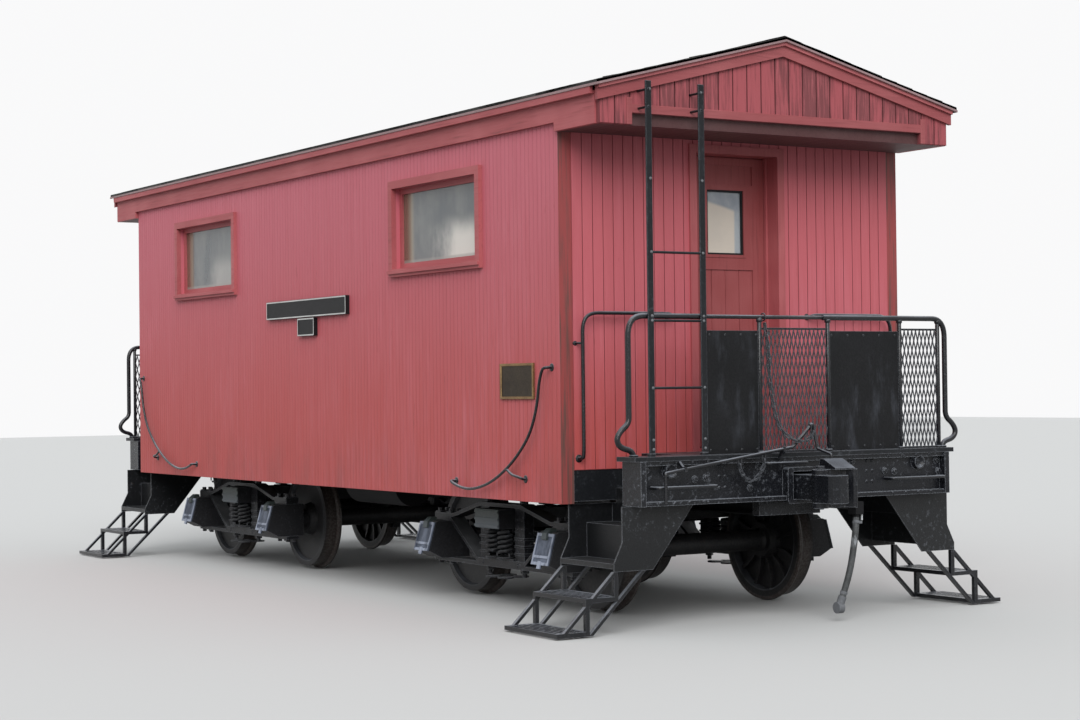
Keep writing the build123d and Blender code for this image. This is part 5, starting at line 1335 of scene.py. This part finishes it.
class CABOOSE_OT_springs(bpy.types.Operator):
    """Coil springs between the spring planks and the bolsters"""
    bl_idname = "caboose.springs"
    bl_label = "Truck springs"

    def execute(self, context):
        seat = 0.012
        wire = 0.0125
        coil_radius = 0.060
        turns = 5
        plank_top = PLANK_Z[1]
        height = BOLSTER_LOW - plank_top - 2 * seat
        bpy.ops.mesh.primitive_circle_add(vertices=8, radius=wire, rotation=(pi / 2, 0, 0),
                                          location=(coil_radius - wire, 0, wire + 0.001))
        coil = changed(added("coil"), "SCREW", axis="Z", angle=2 * pi, iterations=turns,
                       screw_offset=(height - 2 * wire - 0.002) / turns, steps=16, render_steps=16,
                       use_merge_vertices=True)
        with editing(coil):
            bpy.ops.mesh.fill_holes(sides=0)
        smooth(faced_out(coil), 60)
        moved_by(coil, Matrix.Translation((0, 0, plank_top + seat)))
        # Known flaw: the second plate stands below the plank instead of under the bolster
        plates = []
        for z in (plank_top + seat / 2, BOLSTER_LOW - plank_top - seat):
            bpy.ops.mesh.primitive_cylinder_add(vertices=20, radius=coil_radius, depth=seat,
                                                location=(0, 0, z))
            plates.append(bevelled(added("plate"), 0.002))
        nest = joined([coil, *plates], "spring_nest")
        pieces = [copied(nest, shift=(x, side * FRAME_Y + y, 0))
                  for side in (1, -1) for x in (-NEST_X, NEST_X) for y in (-NEST_Y, NEST_Y)]
        bpy.data.objects.remove(nest)
        pieces.append(bar("spring_plank", (-PLANK_X, -FRAME_FACE, PLANK_Z[0]),
                          (PLANK_X, FRAME_FACE, plank_top), 0.003))
        group = joined(pieces, "truck_springs")
        for end, way in ENDS:
            springs = copied(group, f"coil_springs_{end}", (way * TRUCK_X, 0, 0))
            finished(springs, "truck_iron", f"truck_{end}")
            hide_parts(f"truck_{end}_springs")
        bpy.data.objects.remove(group)
        return {"FINISHED"}


class CABOOSE_OT_fasteners(bpy.types.Operator):
    """Rivets and bolts on the beams, railing panels, ladders and side frames"""
    bl_idname = "caboose.fasteners"
    bl_label = "Rivets and bolts"

    def execute(self, context):
        web = BEAM_X - BEAM_RECESS
        rivets, bolts = [], []
        for side in (1, -1):
            rivets += [[(web, side * y, z)] for y in (0.600, 0.648) for z in (0.913, 0.986, 1.056)]
            rivets.append([(BEAM_X, side * 0.80, BEAM_LOW + 0.014), (0, side * 0.115, 0), 4])
            rivets.append([(BEAM_X, side * 0.76, BEAM_TOP - 0.014), (0, side * 0.125, 0), 4])
            bolts += [[(web, side * y, z)]
                      for y, z in ((0.845, 0.976), (1.247, 0.968), (1.225, 1.043), (0.759, 0.983),
                                   (0.40, 0.905), (0.33, 1.045), (0.47, 1.05))]
        stiles = []
        for y in STILE_Y:
            stiles += [[(STILE_X, y, STILE_TOP - 0.055)], [(STILE_X, y, RAIL_Z)],
                       [(STILE_X, y, DECK_Z + 0.045), (0, 0, 0.06), 2]]
            stiles += [[(STILE_X, y, DECK_Z + z)] for z in (*RUNGS, 1.78)]
        panels = []
        for y_low, y_high in ((-0.731, -0.290), (0.290, 0.910)):
            for z in (DECK_Z + 0.028, RAIL_Z - 0.118):
                count = round((y_high - y_low - 0.06) / 0.135)
                step = (y_high - y_low - 0.06) / count
                panels.append([(RAILING_X + 0.004, y_low + 0.03, z), (0, step, 0), count + 1])
        near_pieces = [(set_in_rows("beam_rivets_near", rivet_head(0.0125), rivets), "beam_steel"),
                       (set_in_rows("beam_bolts_near", bolt_head(0.017, 0.016), bolts), "beam_steel"),
                       (set_in_rows("ladder_bolts_near", rivet_head(0.0105, 0.7), stiles), "fitting_steel"),
                       (set_in_rows("panel_rivets_near", rivet_head(0.008), panels), "panel_steel")]
        for piece, paint in near_pieces:
            with_turned_twin(piece, paint)
        frames = []
        for way in (1, -1):
            frames += [[(way * 0.248, -FRAME_FACE, z)] for z in (0.298, 0.316)]
            frames += [[(way * x, -FRAME_FACE + 0.020, 0.48), (0, 0, 0.075), 3] for x in (0.215, 0.280)]
        right = set_in_rows("frame_rivets", rivet_head(0.010), frames, -pi / 2)
        both = joined([right, turned(right, "frame_rivets_left")], "frame_rivets")
        for end, way in ENDS:
            rivets = copied(both, f"frame_rivets_{end}", (way * TRUCK_X, 0, 0))
            finished(rivets, "truck_iron", f"truck_{end}")
        bpy.data.objects.remove(both)
        return {"FINISHED"}


class CABOOSE_OT_signs(bpy.types.Operator):
    """Two blank name boards and a blank plaque on one side, and the stiffeners below both side walls"""
    bl_idname = "caboose.signs"
    bl_label = "Blank signs and plaque"

    def execute(self, context):
        face = -WALL_Y - context.scene.caboose_sizes.board_proud
        front = face - 0.035
        for name, x, z in (("name_board", (-0.769, 0.727), (2.175, 2.323)),
                           ("number_board", (-0.163, 0.148), (2.023, 2.168))):
            plate = bar(name, (x[0], front, z[0]), (x[1], face + 0.001, z[1]), 0.002)
            framed_panel(plate, border=0.010, step=0.002, deep=0.003)
            finished(plate, "sign_black")
            painted_front(plate, "sign_rim", lambda y: y < front + 0.0015)
        bottom = max(high("truck_near_side_frames").z + 0.030, SKIRT_Z - 0.075)
        half_long = 0.62
        strips = [bar("stiffener", (middle - half_long, side * 1.215, bottom),
                      (middle + half_long, side * 1.255, SKIRT_Z + 0.060), 0.004)
                  for middle in (TRUCK_X, -TRUCK_X) for side in (1, -1)]
        finished(joined(strips, "sill_stiffeners"), "truck_iron")
        plaque = bar("plaque", (3.056, face - 0.016, 1.503), (3.495, face + 0.001, 1.747), 0.002)
        framed_panel(plaque, border=0.014, step=0.003, deep=0.005)
        finished(plaque, "bronze")
        painted_front(plaque, "bronze_dark", lambda y: y > face - 0.0125)
        return {"FINISHED"}


class CABOOSE_PT_panel(bpy.types.Panel):
    bl_label = "Caboose"
    bl_idname = "CABOOSE_PT_panel"
    bl_space_type = "VIEW_3D"
    bl_region_type = "UI"
    bl_category = "Caboose"

    def draw(self, context):
        layout = self.layout
        for group in (context.scene.caboose_colours, context.scene.caboose_sizes):
            for key in group.__annotations__:
                layout.prop(group, key)
        for operator in OPERATORS:
            layout.operator(operator.bl_idname)


OPERATORS = (CABOOSE_OT_stage, CABOOSE_OT_finishes, CABOOSE_OT_air_hoses, CABOOSE_OT_wall_boards,
             CABOOSE_OT_roofing, CABOOSE_OT_window_frames, CABOOSE_OT_railing_mesh, CABOOSE_OT_railings,
             CABOOSE_OT_ladders, CABOOSE_OT_side_irons, CABOOSE_OT_wall_pipes, CABOOSE_OT_springs,
             CABOOSE_OT_fasteners, CABOOSE_OT_signs)
CLASSES = (CabooseColours, CabooseSizes, *OPERATORS, CABOOSE_PT_panel)


def register():
    for cls in CLASSES:
        bpy.utils.register_class(cls)
    bpy.types.Scene.caboose_colours = bpy.props.PointerProperty(type=CabooseColours)
    bpy.types.Scene.caboose_sizes = bpy.props.PointerProperty(type=CabooseSizes)


def unregister():
    del bpy.types.Scene.caboose_sizes
    del bpy.types.Scene.caboose_colours
    for cls in reversed(CLASSES):
        bpy.utils.unregister_class(cls)


def main():
    register()
    bpy.ops.caboose.stage()
    bpy.ops.caboose.finishes()
    bpy.ops.caboose.air_hoses()
    bpy.ops.caboose.wall_boards()
    bpy.ops.caboose.roofing()
    bpy.ops.caboose.window_frames()
    bpy.ops.caboose.railing_mesh()
    bpy.ops.caboose.railings()
    bpy.ops.caboose.ladders()
    bpy.ops.caboose.side_irons()
    bpy.ops.caboose.wall_pipes()
    bpy.ops.caboose.springs()
    bpy.ops.caboose.fasteners()
    bpy.ops.caboose.signs()


if __name__ == "__main__":
    main()
